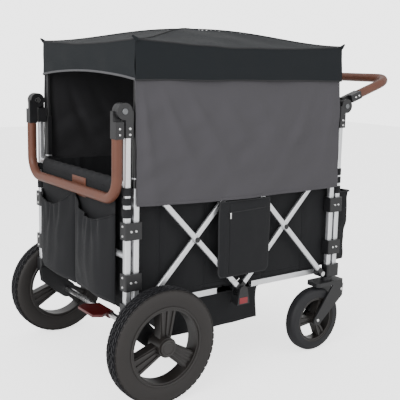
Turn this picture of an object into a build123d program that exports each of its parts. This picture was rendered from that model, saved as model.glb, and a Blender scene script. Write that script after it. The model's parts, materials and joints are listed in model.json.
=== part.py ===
from build123d import *
import math
import os

# Folding stroller wagon. Millimetres, +Z up, +X towards the caster end (the front), -Y the right-hand side.
# The origin is on the ground, below the middle of the overall length. Mirrored pieces share one node.

os.makedirs("parts", exist_ok=True)

# Side scissor: two crossed bars in each half of a side
half_span = 302        # from the middle of a side to the lower bar pivot at each end, open
bar_rise = 316         # height of the upper pivots over the lower ones, open
pivot_z = 226          # lower pivots over the ground
folded_half_span = 114  # half_span when the wagon is folded
bar_wide = 15
bar_thick = 9
bar_end = 24           # length of the black end piece, from its pivot
bar_gap = 1.0          # between the inner and the outer layer of bars
pin_r = 4
head_r = 7
head_thick = 1.5

# Posts: two at each corner
post = 16
post_round = 4.5
post_wall = 1.8
post_y = 248
inner_post_out = 26    # inner post, outward of the bar pivots
post_spacing = 23.5      # from the inner post to the outer one
post_foot_z = 232
inner_post_top = 556
outer_post_top = 690

# Clearances
slip = 0.05            # radial, for pins, shafts and tubes in their bores
slide = 0.3            # all round, for what slides
clear = 0.5            # cloth beside frame

# Handles
hinge_z = 714
hinge_out = 13.5       # handle pivot, outward of the outer post, and handle leg outward of the pivot
hinge_r = 20
handle_length = 211    # from the pivot to the middle of the crossbar
handle_bend = 55
handle_tube_r = 9.5
handle_tube_wall = 1.5
grip_r = 12.8
grip_start = 64        # from the pivot
socket_start = 24
front_handle_raise = 108.5  # degrees up from hanging straight down
knuckle_wide = 27
knuckle_foot = 62      # from the pivot down to the knuckle's lower end
button_r = 7
button_out = 2.5       # button travel, and how far it stands out

# Wheels
rear_wheel_r = 146
rear_wheel_y = 298
rear_wheel_back = 280  # wheel centre, from the middle of the wagon
rear_tyre_wide = 50
rear_rim_r = 100
rear_rim_wide = 40
rear_hub_r = 25
rim_wall = 9
axle_tube_r = 8
axle_stub_r = 6
caster_wheel_r = 93
caster_tyre_wide = 36
caster_rim_r = 67
caster_rim_wide = 28
caster_hub_r = 16
caster_bolt_r = 4
caster_trail = 52
caster_stem_r = 8
fork_arm_thick = 5
fork_arm_gap = 3       # between the tyre and each arm
crown_top = 203
crown_thick = 12

# Fittings on the posts
bracket_z = (303, 429)
bracket_tall = 42
bracket_wall = 7
fitting_top = 250
fitting_foot = 214
arm_in = 230           # inner face of the rear axle arms
arm_out = 252
cross_tube_r = 8
top_tube_z = 540
low_tube_z = 366
centre_plate_r = 14    # round the lower middle pivot
centre_plate_half = 21  # half of its width at the foot
centre_plate_drop = 37
rivet_r = 3.2
rivet_tall = 1.4

# Floor
rail = 16
rail_y = 216
rail_length = 242
rail_wall = 2
board_length = 262
board_thick = 6
board_half_wide = 224
board_tail = 8         # outward of the hinge
strip_half = 36        # half the length of the narrow board in the middle

# Cloth
wall_thick = 5
tub_top = 546
tub_foot = 242
panel_thick = 3
panel_foot = 21        # how far its foot reaches inwards
pouch_deep = 30
pouch_top = 458
pouch_foot = 238
pouch_half_wide = 212
pouch_wall = 3
front_bag_deep = 72
front_bag_top = 452
front_bag_foot = 245
flap_top = 555
side_pocket_half = 88
side_pocket_z = (270, 478)
side_pocket_thick = 7
side_pocket_hollow = (400, 455)  # its back is drawn in here, where the crossing pins pass
basket_z = (123, 217.5)
basket_x = (-200, 88)  # from the middle of the wagon
basket_half_wide = 217
basket_wall = 3

# Canopy
canopy_half_long = 338
canopy_half_wide = 259
canopy_edge_z = 880
canopy_mid_z = 908
canopy_peak_z = 922
canopy_cloth = 2.5
valance_foot = 786
pole_r = 6
pole_top = 872
sleeve_top = 668
rod_r = 3
rod_hub_r = 30
rod_hub_z = (896, 912)
curtain_half_long = 333
curtain_cloth = 1.2
# height and inner face of the curtain, from the middle plane
curtain_line = ((800, 254.4), (670, 258.2), (560, 260.8), (484, 261.4))

# Brake
pedal_half_wide = 56
pedal_root_half = 36
pedal_reach = 58
pedal_thick = 7
pedal_sleeve_r = 12

# Sizes that follow from these
bar_length = math.hypot(half_span, bar_rise)
bar_angle = math.degrees(math.atan2(bar_rise, half_span))
fold_angle = math.degrees(math.acos(folded_half_span / bar_length)) - bar_angle
top_z = pivot_z + bar_rise
inner_x = half_span + inner_post_out
outer_x = inner_x + post_spacing
hinge_x = outer_x + hinge_out
raise_rad = math.radians(front_handle_raise)
front_reach = hinge_x + handle_length * math.sin(raise_rad) + hinge_out * math.cos(raise_rad) + grip_r
rear_reach = rear_wheel_back + rear_wheel_r
mid_x = (rear_reach - front_reach) / 2
axle_x = mid_x - rear_wheel_back
inner_layer = post_y - bar_thick - bar_gap / 2 + 1   # inner face of the inner bars
outer_layer = inner_layer + bar_thick + bar_gap
bars_out = outer_layer + bar_thick
wall_y = post_y - post / 2 - bracket_wall - clear    # outer face of the tub's side walls
panel_half_wide = wall_y - wall_thick - 2 * clear
collar = post + 2 * slide + 4.4
knuckle_in = post_y - knuckle_wide / 2
knuckle_out = post_y + knuckle_wide / 2
caster_y = post_y
arm_face = caster_tyre_wide / 2 + fork_arm_gap


def write(piece, name):
    piece.part.label = name
    export_step(piece.part, f"parts/{name}.step")


def side_plane(y):
    """Plane facing outwards on the right-hand side: local x is +X and local y is +Z."""
    return Plane.XZ.offset(y)


def end_x(end, out):
    """X of a place that far outward of the middle, at the rear (-1) or front (1) end."""
    return mid_x + end * out


def post_outline(end, out):
    """Section of a square tube with rounded corners."""
    with BuildSketch(Plane.XY.offset(post_foot_z)) as outline:
        with Locations((end_x(end, out), -post_y)):
            RectangleRounded(post, post, post_round)
            RectangleRounded(post - 2 * post_wall, post - 2 * post_wall, post_round - post_wall, mode=Mode.SUBTRACT)
    return outline.sketch


def inner_posts(end, name):
    with BuildPart() as posts:
        extrude(post_outline(end, inner_x), amount=inner_post_top - post_foot_z)
        mirror(about=Plane.XZ)
    write(posts, name)


def outer_frame(end, name):
    """Outer posts with the two tubes welded between them."""
    with BuildPart() as frame:
        extrude(post_outline(end, outer_x), amount=outer_post_top - post_foot_z)
        mirror(about=Plane.XZ)
        weld_y = post_y - post / 2
        with BuildSketch(side_plane(-weld_y)):
            with Locations((end_x(end, outer_x), low_tube_z), (end_x(end, outer_x), top_tube_z)):
                Circle(cross_tube_r)
                Circle(cross_tube_r - post_wall, mode=Mode.SUBTRACT)
        extrude(amount=2 * weld_y)
    write(frame, name)


def post_brackets(end):
    """Clamps that hold each pair of posts together."""
    mid_post = (inner_x + outer_x) / 2
    with BuildPart() as brackets:
        for z in bracket_z:
            with BuildSketch(Plane.XY.offset(z - bracket_tall / 2)):
                with Locations((end_x(end, mid_post), -post_y)):
                    RectangleRounded(post_spacing + post + bracket_wall, post + 2 * bracket_wall, 4)
                for out in (inner_x, outer_x):
                    with Locations((end_x(end, out), -post_y)):
                        RectangleRounded(post + 2 * slip, post + 2 * slip, post_round, mode=Mode.SUBTRACT)
            extrude(amount=bracket_tall)
    return brackets


def post_bores(end):
    """Cuts both post bores out of the fitting being built."""
    for out in (inner_x, outer_x):
        with BuildSketch(Plane.XY.offset(post_foot_z)) as bore:
            with Locations((end_x(end, out), -post_y)):
                RectangleRounded(post + 2 * slip, post + 2 * slip, post_round)
        extrude(bore.sketch, amount=fitting_top, mode=Mode.SUBTRACT)


def fitting_block(end, foot, lug_in, lug_out):
    """Corner fitting with both post bores and the lug of the lower pivot."""
    inward = inner_x - post / 2 - 2.5
    outward = outer_x + post / 2 + 4.5
    with BuildSketch(Plane.XY.offset(foot)) as block:
        with Locations((end_x(end, (inward + outward) / 2), -post_y)):
            RectangleRounded(outward - inward, post + 13, 5)
    extrude(block.sketch, amount=fitting_top - foot)
    post_bores(end)
    with BuildSketch(side_plane(lug_in)) as lug:
        with Locations((end_x(end, half_span), pivot_z)):
            Circle(bar_wide / 2 + 3)
        with Locations((end_x(end, (half_span + inward) / 2), pivot_z - 1)):
            Rectangle(inward - half_span + 0.4, bar_wide + 2)
        with Locations((end_x(end, half_span), pivot_z)):
            Circle(pin_r + slip, mode=Mode.SUBTRACT)
    extrude(lug.sketch, amount=lug_out - lug_in)


def post_fittings(end):
    """Clamps and handle knuckles of the posts. Each knuckle carries a pivot boss, and its inner half leaves
    room for the handle."""
    stem = (end_x(end, outer_x), hinge_z - knuckle_foot / 2 - 11)
    hub = (end_x(end, hinge_x), hinge_z)
    half = post_y + slide
    with BuildPart() as bases:
        with BuildSketch(side_plane(knuckle_in)):
            with Locations(stem):
                Rectangle(post + 6, knuckle_foot - 22)
            with Locations(hub):
                Circle(hinge_r + 1.5, mode=Mode.SUBTRACT)
        extrude(amount=half - knuckle_in)
        with BuildSketch(side_plane(half)):
            with Locations((stem[0], hinge_z - knuckle_foot / 2)):
                Rectangle(post + 6, knuckle_foot)
            with Locations(hub):
                Circle(hinge_r)
        extrude(amount=knuckle_out - half)
        fillet(bases.edges().filter_by(Axis.Z).group_by(Axis.Y)[0], 3)
        with BuildSketch(Plane.XY.offset(hinge_z - knuckle_foot)):
            with Locations((end_x(end, outer_x), -post_y)):
                RectangleRounded(post + 2 * slip, post + 2 * slip, post_round)
        extrude(amount=outer_post_top - hinge_z + knuckle_foot + slide, mode=Mode.SUBTRACT)
        with BuildSketch(side_plane(knuckle_in + slide)):
            with Locations(hub):
                Circle(pin_r + 1)
        extrude(amount=half - knuckle_in - slide)
        with BuildSketch(side_plane(knuckle_out)):
            with Locations(hub):
                Circle(button_r + slip)
        extrude(amount=-(2 * button_out + 6), mode=Mode.SUBTRACT)
        add(post_brackets(end).part)
        mirror(about=Plane.XZ)
    return bases


def rivet_row(plane, places, tall=rivet_tall, radius=rivet_r):
    """Domed rivet heads on a face."""
    with BuildSketch(plane) as heads:
        with Locations(*places):
            Circle(radius)
    extrude(heads.sketch, amount=tall, taper=25)


def frame_fasteners(end, pin_out):
    """Rivet heads of one end frame, the lower pivot pins and the caps of the handle pivots."""
    outer = end_x(end, outer_x)
    inner = end_x(end, inner_x)
    face = outer_x + (post + bracket_wall) / 2
    end_face = Plane(origin=(end_x(end, face), -post_y, 0), x_dir=(0, end, 0), z_dir=(end, 0, 0))
    with BuildPart() as fasteners:
        for z in bracket_z:
            side_face = side_plane(post_y + post / 2 + bracket_wall)
            rivet_row(side_face, ((outer + end * -4, z), (inner + end * 6, z)))
            rivet_row(end_face, ((0, z - 12), (0, z + 12)))
        foot = hinge_z - knuckle_foot
        rivet_row(side_plane(knuckle_out), ((outer, foot + 8), (outer, foot + 22)))
        with BuildSketch(side_plane(rail_y - rail / 2 - 1)):
            with Locations((end_x(end, half_span), pivot_z)):
                Circle(pin_r)
        extrude(amount=pin_out - rail_y + rail / 2 + 1)
        with BuildSketch(side_plane(pin_out)):
            with Locations((end_x(end, half_span), pivot_z)):
                Circle(head_r)
        extrude(amount=head_thick)
        with BuildSketch(side_plane(knuckle_in + slide)):
            with Locations((end_x(end, hinge_x), hinge_z)):
                Circle(pin_r + 4)
        extrude(amount=-head_thick)
        mirror(about=Plane.XZ)
    return fasteners


def handle_plane(end, turn, out):
    """Plane at a handle pivot, turned with the handle: local x is away from the post and local y up the leg."""
    lift = math.radians(turn)
    return Plane(
        origin=(end_x(end, hinge_x), 0, hinge_z),
        x_dir=(end * math.cos(lift), 0, math.sin(lift)),
        z_dir=(0, -end, 0),
    ).offset(out)


def handle_bow(end, turn, start, radius, wall, name):
    """Tube bent to a U, from start below one pivot round to the other."""
    lift = math.radians(turn)
    across = Plane(
        origin=handle_plane(end, turn, 0).from_local_coords((hinge_out, 0, 0)),
        x_dir=(0, end, 0),
        z_dir=(end * math.cos(lift), 0, math.sin(lift)),
    )
    with BuildPart() as bow:
        with BuildLine(across) as path:
            FilletPolyline(
                (-post_y, -start), (-post_y, -handle_length), (post_y, -handle_length), (post_y, -start),
                radius=handle_bend,
            )
        with BuildSketch(Plane(origin=path.line @ 0, z_dir=path.line % 0)):
            Circle(radius)
            Circle(radius - wall, mode=Mode.SUBTRACT)
        sweep()
    write(bow, name)


def handle_sockets(end, turn, name):
    """Inner halves of the knuckles: a disc on the pivot and a socket for the handle tube."""
    inner_half = post_y - slide - knuckle_in - slide
    with BuildPart() as sockets:
        with BuildSketch(handle_plane(end, turn, knuckle_in + slide)):
            Circle(hinge_r)
            with Locations((hinge_out, -grip_start / 2)):
                Rectangle(2 * handle_tube_r + 3, grip_start)
            Circle(pin_r + 1 + slip, mode=Mode.SUBTRACT)
        extrude(amount=inner_half)
        with BuildSketch(handle_plane(end, turn, knuckle_in + slide)):
            with Locations((hinge_out, -(grip_start + socket_start) / 2)):
                Rectangle(2 * handle_tube_r + 3, grip_start - socket_start)
        extrude(amount=knuckle_wide - 2 * slide)
        with BuildSketch(handle_plane(end, turn, post_y - slide)):
            Circle(hinge_r + 1.5)
        extrude(amount=knuckle_wide, mode=Mode.SUBTRACT)
        with BuildSketch(Plane(
            origin=handle_plane(end, turn, post_y).from_local_coords((hinge_out, -grip_start, 0)),
            z_dir=handle_plane(end, turn, 0).y_dir,
        )):
            Circle(handle_tube_r + slip)
        extrude(amount=grip_start - socket_start - 14, mode=Mode.SUBTRACT)
        mirror(about=Plane.XZ)
    write(sockets, name)


def handle_button(end, side, name):
    cap = (end_x(end, hinge_x), side * (knuckle_out + button_out), hinge_z)
    with BuildPart() as button:
        with BuildSketch(Plane(origin=cap, z_dir=(0, side, 0))):
            Circle(button_r)
        extrude(amount=-(button_out + 6))
        chamfer(button.faces().sort_by(Axis((0, 0, 0), (0, side, 0)))[-1].edges(), 1)
    write(button, name)


def bar_points(first, last):
    """Middle, turn and unit direction of a bar between two pivots, in side view."""
    middle = ((first[0] + last[0]) / 2, (first[1] + last[1]) / 2)
    turn = math.degrees(math.atan2(last[1] - first[1], last[0] - first[0]))
    return middle, turn


def scissor_bars(first, last, layer, name):
    middle, turn = bar_points(first, last)
    with BuildPart() as bars:
        with BuildSketch(side_plane(layer)):
            with Locations(middle):
                Rectangle(bar_length - 2 * bar_end, bar_wide, rotation=turn)
                Circle(pin_r + slip, mode=Mode.SUBTRACT)
        extrude(amount=bar_thick)
        fillet(bars.edges().filter_by(lambda edge: edge.length > bar_length / 2), bar_thick / 3)
        mirror(about=Plane.XZ)
    write(bars, name)


def bar_fittings(first, last, layer, pins, name):
    """Black end pieces of a bar pair, and the pins that the pair carries: (place, inner face, outer face)."""
    middle, turn = bar_points(first, last)
    along = Vector(math.cos(math.radians(turn)), math.sin(math.radians(turn)))
    with BuildPart() as fittings:
        with BuildSketch(side_plane(layer)):
            for place, way in ((first, 1), (last, -1)):
                centre = Vector(*place) + along * (way * bar_end / 2)
                with Locations((centre.X, centre.Y)):
                    Rectangle(bar_end, bar_wide, rotation=turn)
                with Locations(place):
                    Circle(bar_wide / 2 + 1)
            for place in (first, last):
                with Locations(place):
                    Circle(pin_r + slip, mode=Mode.SUBTRACT)
        extrude(amount=bar_thick)
        for place, pin_in, pin_out in pins:
            with BuildSketch(side_plane(pin_in)):
                with Locations(place):
                    Circle(pin_r)
            extrude(amount=pin_out - pin_in)
            for face, way in ((pin_in, -1), (pin_out, 1)):
                with BuildSketch(side_plane(face)):
                    with Locations(place):
                        Circle(head_r)
                extrude(amount=way * head_thick)
        mirror(about=Plane.XZ)
    write(fittings, name)


def slider(end, lug_in, lug_out, pin_in, pin_out, name):
    """Collar on the inner post, with the lug and pin of the upper bar end."""
    pivot = (end_x(end, half_span), top_z)
    lug_root = inner_x - collar / 2
    with BuildPart() as sliders:
        with BuildSketch(Plane.XY.offset(top_z - bar_wide / 2 - 3)):
            with Locations((end_x(end, inner_x), -post_y)):
                RectangleRounded(collar, collar, post_round)
        extrude(amount=bar_wide + 6)
        with BuildSketch(side_plane(lug_in)):
            with Locations(pivot):
                Circle(bar_wide / 2 + 1)
            with Locations((end_x(end, (half_span + lug_root) / 2 + 0.5), top_z)):
                Rectangle(lug_root - half_span + 1, bar_wide + 2)
        extrude(amount=lug_out - lug_in)
        with BuildSketch(Plane.XY.offset(top_z - bar_wide)):
            with Locations((end_x(end, inner_x), -post_y)):
                RectangleRounded(post + 2 * slide, post + 2 * slide, post_round)
        extrude(amount=2 * bar_wide, mode=Mode.SUBTRACT)
        with BuildSketch(side_plane(pin_in)):
            with Locations(pivot):
                Circle(pin_r)
        extrude(amount=pin_out - pin_in)
        with BuildSketch(side_plane(pin_out)):
            with Locations(pivot):
                Circle(head_r)
        extrude(amount=head_thick)
        mirror(about=Plane.XZ)
    write(sliders, name)


def floor_rails(end, name):
    far = half_span - rail_length
    with BuildPart() as rails:
        with BuildSketch(side_plane(rail_y - rail / 2)):
            with Locations((end_x(end, half_span), pivot_z)):
                Circle(rail / 2)
            with Locations((end_x(end, (half_span + far) / 2), pivot_z)):
                Rectangle(rail_length, rail)
            with Locations((end_x(end, half_span), pivot_z)):
                Circle(pin_r + slip, mode=Mode.SUBTRACT)
        extrude(amount=rail)
        with BuildSketch(side_plane(rail_y - rail / 2 + rail_wall)):
            with Locations((end_x(end, (half_span - rail + far) / 2), pivot_z)):
                Rectangle(rail_length - rail, rail - 2 * rail_wall)
        extrude(amount=rail - 2 * rail_wall, mode=Mode.SUBTRACT)
        mirror(about=Plane.XZ)
    write(rails, name)


def floor_board(end, name):
    far = half_span - board_length
    with BuildPart() as board:
        with BuildSketch(Plane.XY.offset(pivot_z + rail / 2)):
            with Locations((end_x(end, (half_span + board_tail + far) / 2), 0)):
                RectangleRounded(board_length + board_tail, 2 * board_half_wide, 8)
        extrude(amount=board_thick)
    write(board, name)


def canopy_poles(end, name):
    """Poles that carry the canopy, each with a sleeve of the post's own section where the slider runs."""
    with BuildPart() as poles:
        with BuildSketch(Plane.XY.offset(inner_post_top)):
            with Locations((end_x(end, inner_x), -post_y)):
                RectangleRounded(post, post, post_round)
        extrude(amount=sleeve_top - inner_post_top)
        with BuildSketch(Plane.XY.offset(sleeve_top)):
            with Locations((end_x(end, inner_x), -post_y)):
                Circle(pole_r)
        extrude(amount=pole_top - sleeve_top)
        mirror(about=Plane.XZ)
    write(poles, name)


def end_panel(end, name):
    inward = outer_x - cross_tube_r - clear - panel_thick
    with BuildPart() as panel:
        with BuildSketch(Plane.XY.offset(tub_foot)):
            with Locations((end_x(end, inward + panel_thick / 2), 0)):
                Rectangle(panel_thick, 2 * panel_half_wide)
        extrude(amount=tub_top - tub_foot)
        with BuildSketch(Plane.XY.offset(tub_foot)):
            with Locations((end_x(end, inward - panel_foot / 2), 0)):
                Rectangle(panel_foot, 2 * panel_half_wide)
        extrude(amount=panel_thick)
    write(panel, name)


def open_bag(end, deep, top, foot, pouches, name):
    """Bag hung outside an end frame: a back sheet up over the top tube and open pouches in front of it."""
    back = outer_x + cross_tube_r + slide
    wide = 2 * pouch_half_wide
    with BuildPart() as bag:
        with BuildSketch(Plane.XY.offset(foot)):
            with Locations((end_x(end, back + deep / 2), 0)):
                Rectangle(deep, wide)
        extrude(amount=top - foot)
        fillet(bag.edges().filter_by(Axis.Z).group_by(Axis.X)[0 if end < 0 else -1], deep / 3)
        cell = (wide - (pouches + 1) * pouch_wall) / pouches
        with BuildSketch(Plane.XY.offset(foot + pouch_wall)):
            for place in range(pouches):
                middle = -wide / 2 + pouch_wall + cell / 2 + place * (cell + pouch_wall)
                with Locations((end_x(end, back + deep / 2), middle)):
                    RectangleRounded(deep - 2 * pouch_wall, cell, deep / 3 - pouch_wall)
        extrude(amount=top - foot, mode=Mode.SUBTRACT)
        if end < 0:
            with BuildSketch(Plane.XY.offset(top)):
                with Locations((end_x(end, back + pouch_wall / 2), 0)):
                    Rectangle(pouch_wall, wide)
            extrude(amount=flap_top - top)
    write(bag, name)


def wheel_rim(x, y, radius, wide, hub_r, hub_wide, bore_r, spoke_root, spoke_tip, first_spoke, name):
    """Moulded rim with three broad spokes."""
    with BuildPart() as rim:
        with BuildSketch(side_plane(-y - wide / 2)):
            with Locations((x[0], x[1])):
                Circle(radius - slip)
                Circle(radius - rim_wall, mode=Mode.SUBTRACT)
        extrude(amount=wide)
        with BuildSketch(side_plane(-y - hub_wide / 2)):
            with Locations((x[0], x[1])):
                Circle(hub_r)
        extrude(amount=hub_wide)
        spoke = radius - rim_wall / 2
        with BuildSketch(side_plane(-y - wide / 3)):
            for turn in (first_spoke, first_spoke + 120, first_spoke + 240):
                with Locations(Location((x[0], x[1]), turn)):
                    Polygon(
                        (0, spoke_root / 2), (spoke, spoke_tip / 2), (spoke, -spoke_tip / 2), (0, -spoke_root / 2),
                        align=None,
                    )
        extrude(amount=2 * wide / 3)
        with BuildSketch(side_plane(-y - hub_wide)):
            with Locations((x[0], x[1])):
                Circle(bore_r + slip)
        extrude(amount=2 * hub_wide, mode=Mode.SUBTRACT)
    write(rim, name)


def tyre(x, y, inner_r, outer_r, wide, name):
    with BuildPart() as ring:
        with BuildSketch(side_plane(-y - wide / 2)):
            with Locations((x[0], x[1])):
                Circle(outer_r)
                Circle(inner_r, mode=Mode.SUBTRACT)
        extrude(amount=wide)
        rims = ring.edges().filter_by(GeomType.CIRCLE)
        fillet(rims.group_by(lambda edge: round(edge.radius))[-1], wide / 3)
    write(ring, name)


# End frames
for end, which in ((-1, "rear"), (1, "front")):
    outer_frame(end, f"{which}_outer_frame")
    inner_posts(end, f"{which}_inner_posts")
    write(post_fittings(end), f"{which}_post_fittings")
    write(frame_fasteners(end, outer_layer - bar_gap if end < 0 else bars_out), f"{which}_fasteners")
    canopy_poles(end, f"{which}_canopy_poles")
    end_panel(end, f"{which}_end_panel")
    floor_rails(end, f"{which}_floor_rails")
    floor_board(end, f"{which}_floor_board")
    handle_button(end, -1, f"{which}_button_right")
    handle_button(end, 1, f"{which}_button_left")

# Rear corner fittings, each with an arm down to the axle
with BuildPart() as axle_arms:
    fitting_block(-1, fitting_foot, arm_in, inner_layer - bar_gap)
    with BuildSketch(side_plane(arm_in)):
        with BuildLine():
            Polyline(
                (mid_x - outer_x - 12, fitting_foot + 12), (mid_x - outer_x - 6, fitting_foot - 34),
                (axle_x - 14, rear_wheel_r - 20), (axle_x + 14, rear_wheel_r - 16), (axle_x + 20, rear_wheel_r + 10),
                (mid_x - inner_x + 12, fitting_foot + 2), (mid_x - outer_x - 12, fitting_foot + 12),
            )
        make_face()
        with Locations((axle_x, rear_wheel_r)):
            Circle(24)
            Circle(axle_tube_r + slip, mode=Mode.SUBTRACT)
    extrude(amount=arm_out - arm_in)
    post_bores(-1)
    mirror(about=Plane.XZ)
write(axle_arms, "rear_axle_arms")

with BuildPart() as rear_axle:
    with BuildSketch(side_plane(-arm_out)):
        with Locations((axle_x, rear_wheel_r)):
            Circle(axle_tube_r)
    extrude(amount=2 * arm_out)
    with BuildSketch(side_plane(-rear_wheel_y - rear_tyre_wide / 2)):
        with Locations((axle_x, rear_wheel_r)):
            Circle(axle_stub_r)
    extrude(amount=2 * rear_wheel_y + rear_tyre_wide)
write(rear_axle, "rear_axle")

# Front corner fittings, which hold the caster stems
with BuildPart() as caster_sockets:
    fitting_block(1, fitting_foot, arm_in, outer_layer - bar_gap)
    with BuildSketch(Plane.XY.offset(fitting_foot)):
        with Locations((mid_x + inner_x, -post_y)):
            Circle(caster_stem_r + slip)
    extrude(amount=post_foot_z - fitting_foot - 2, mode=Mode.SUBTRACT)
    mirror(about=Plane.XZ)
write(caster_sockets, "caster_sockets")

# Scissor bars: a and d lean forwards going up, b and c lean backwards
rear_low, rear_high = (mid_x - half_span, pivot_z), (mid_x - half_span, top_z)
mid_low, mid_high = (mid_x, pivot_z), (mid_x, top_z)
front_low, front_high = (mid_x + half_span, pivot_z), (mid_x + half_span, top_z)
rear_cross = (mid_x - half_span / 2, pivot_z + bar_rise / 2)
front_cross = (mid_x + half_span / 2, pivot_z + bar_rise / 2)
both_layers = (inner_layer, bars_out)
scissor_bars(rear_low, mid_high, inner_layer, "bar_a")
scissor_bars(rear_high, mid_low, outer_layer, "bar_b")
scissor_bars(mid_high, front_low, outer_layer, "bar_c")
scissor_bars(mid_low, front_high, inner_layer, "bar_d")
bar_fittings(rear_low, mid_high, inner_layer, ((rear_cross, *both_layers), (mid_high, *both_layers)), "bar_a_fittings")
bar_fittings(rear_high, mid_low, outer_layer, (), "bar_b_fittings")
bar_fittings(mid_high, front_low, outer_layer, ((front_cross, *both_layers),), "bar_c_fittings")
bar_fittings(mid_low, front_high, inner_layer, (), "bar_d_fittings")
slider(-1, inner_layer, outer_layer - bar_gap, inner_layer, bars_out, "rear_sliders")
slider(1, outer_layer, bars_out, inner_layer, bars_out - 2, "front_sliders")

# Bottom middle brackets, with the tube that joins the two sides
plate_out = bars_out + bar_gap
with BuildPart() as centre_brackets:
    for face, thick, tall in ((inner_layer - bar_gap, -5, 0), (plate_out, 6, 0)):
        with BuildSketch(side_plane(face)):
            with Locations(mid_low):
                Circle(centre_plate_r)
                Polygon(
                    (-centre_plate_r, 0), (-centre_plate_half, -centre_plate_drop),
                    (centre_plate_half, -centre_plate_drop), (centre_plate_r, 0),
                    align=None,
                )
        extrude(amount=thick)
    with BuildSketch(side_plane(inner_layer - bar_gap)):
        with Locations((mid_x, pivot_z - 25)):
            Rectangle(34, 24)
    extrude(amount=plate_out - inner_layer + bar_gap)
    with BuildSketch(side_plane(inner_layer - bar_gap)):
        with Locations(mid_low):
            Circle(pin_r)
    extrude(amount=plate_out - inner_layer + bar_gap)
    mirror(about=Plane.XZ)
    half = inner_layer - bar_gap - 5
    with BuildSketch(side_plane(-half)):
        with Locations(mid_low):
            Circle(cross_tube_r)
            Circle(cross_tube_r - post_wall, mode=Mode.SUBTRACT)
    extrude(amount=2 * half)
write(centre_brackets, "centre_brackets")

with BuildPart() as centre_floor_board:
    with BuildSketch(Plane.XY.offset(pivot_z + rail / 2)):
        with Locations((mid_x, 0)):
            RectangleRounded(2 * strip_half, 2 * board_half_wide, 8)
    extrude(amount=board_thick)
write(centre_floor_board, "centre_floor_board")

# Handles
for end, turn, which in ((-1, 0, "rear"), (1, front_handle_raise, "front")):
    handle_bow(end, turn, socket_start + 15, handle_tube_r, handle_tube_wall, f"{which}_handle_tube")
    handle_bow(end, turn, grip_start, grip_r, grip_r - handle_tube_r - slip, f"{which}_handle_grip")
    handle_sockets(end, turn, f"{which}_handle_sockets")

# Wheels
for side, hand in ((-1, "right"), (1, "left")):
    rear_hub = (axle_x, rear_wheel_r)
    caster_hub = (mid_x + inner_x - caster_trail, caster_wheel_r)
    wheel_y = side * rear_wheel_y
    wheel_rim(
        rear_hub, wheel_y, rear_rim_r, rear_rim_wide, rear_hub_r, rear_tyre_wide, axle_stub_r, 27, 48, 85,
        f"rear_rim_{hand}",
    )
    tyre(rear_hub, wheel_y, rear_rim_r, rear_wheel_r, rear_tyre_wide, f"rear_tyre_{hand}")
    wheel_y = side * caster_y
    wheel_rim(
        caster_hub, wheel_y, caster_rim_r, caster_rim_wide, caster_hub_r, caster_tyre_wide, caster_bolt_r, 17, 30, 60,
        f"caster_rim_{hand}",
    )
    tyre(caster_hub, wheel_y, caster_rim_r, caster_wheel_r, caster_tyre_wide, f"caster_tyre_{hand}")
    with BuildPart() as fork:
        stem_x = mid_x + inner_x
        crown_half = arm_face + fork_arm_thick
        with BuildSketch(Plane.XY.offset(crown_top - crown_thick)):
            with Locations((stem_x - 4, wheel_y)):
                RectangleRounded(108, 2 * crown_half, 12)
        extrude(amount=crown_thick)
        for face in (arm_face, -arm_face - fork_arm_thick):
            with BuildSketch(side_plane(-wheel_y + face)):
                with BuildLine():
                    Polyline(
                        (stem_x + 4, crown_top - crown_thick + 0.5), (stem_x + 46, crown_top - crown_thick + 0.5),
                        (stem_x + 44, crown_top - 48), (caster_hub[0] + 14, caster_hub[1] - 6),
                        (caster_hub[0] - 14, caster_hub[1] + 6), (stem_x + 4, crown_top - crown_thick + 0.5),
                    )
                make_face()
                with Locations(caster_hub):
                    Circle(15)
            extrude(amount=fork_arm_thick)
        with BuildSketch(Plane.XY.offset(crown_top)):
            with Locations((stem_x, wheel_y)):
                Circle(17)
        extrude(amount=fitting_foot - crown_top - slide)
        with BuildSketch(Plane.XY.offset(crown_top)):
            with Locations((stem_x, wheel_y)):
                Circle(caster_stem_r)
        extrude(amount=post_foot_z - crown_top - 3)
        with BuildSketch(side_plane(-wheel_y - crown_half)):
            with Locations(caster_hub):
                Circle(caster_bolt_r)
        extrude(amount=2 * crown_half)
    write(fork, f"caster_fork_{hand}")

# Brake pedal, turning on the axle tube
with BuildPart() as brake_pedal:
    with BuildSketch(side_plane(-pedal_root_half)):
        with Locations((axle_x, rear_wheel_r)):
            Circle(pedal_sleeve_r)
    extrude(amount=2 * pedal_root_half)
    with BuildSketch(Plane.XY.offset(rear_wheel_r + 3)):
        with BuildLine():
            Polyline(
                (axle_x - 4, pedal_root_half), (axle_x - 34, pedal_half_wide),
                (axle_x - pedal_reach, pedal_half_wide - 14), (axle_x - pedal_reach, -pedal_half_wide + 14),
                (axle_x - 34, -pedal_half_wide),
                (axle_x - 4, -pedal_root_half), (axle_x - 4, pedal_root_half),
            )
        make_face()
    extrude(amount=pedal_thick)
    with BuildSketch(side_plane(-pedal_half_wide)):
        with Locations((axle_x, rear_wheel_r)):
            Circle(axle_tube_r + slip)
    extrude(amount=2 * pedal_half_wide, mode=Mode.SUBTRACT)
write(brake_pedal, "brake_pedal")

# Cloth of the tub
with BuildPart() as tub_sides:
    inward = outer_x - cross_tube_r - 2 * clear - panel_thick
    with BuildSketch(Plane.XY.offset(tub_foot)):
        with Locations((mid_x, -wall_y + wall_thick / 2)):
            Rectangle(2 * inward, wall_thick)
    extrude(amount=tub_top - tub_foot)
    mirror(about=Plane.XZ)
write(tub_sides, "tub_sides")

open_bag(-1, pouch_deep, pouch_top, pouch_foot, 2, "rear_pockets")
open_bag(1, front_bag_deep, front_bag_top, front_bag_foot, 1, "front_bag")

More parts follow.
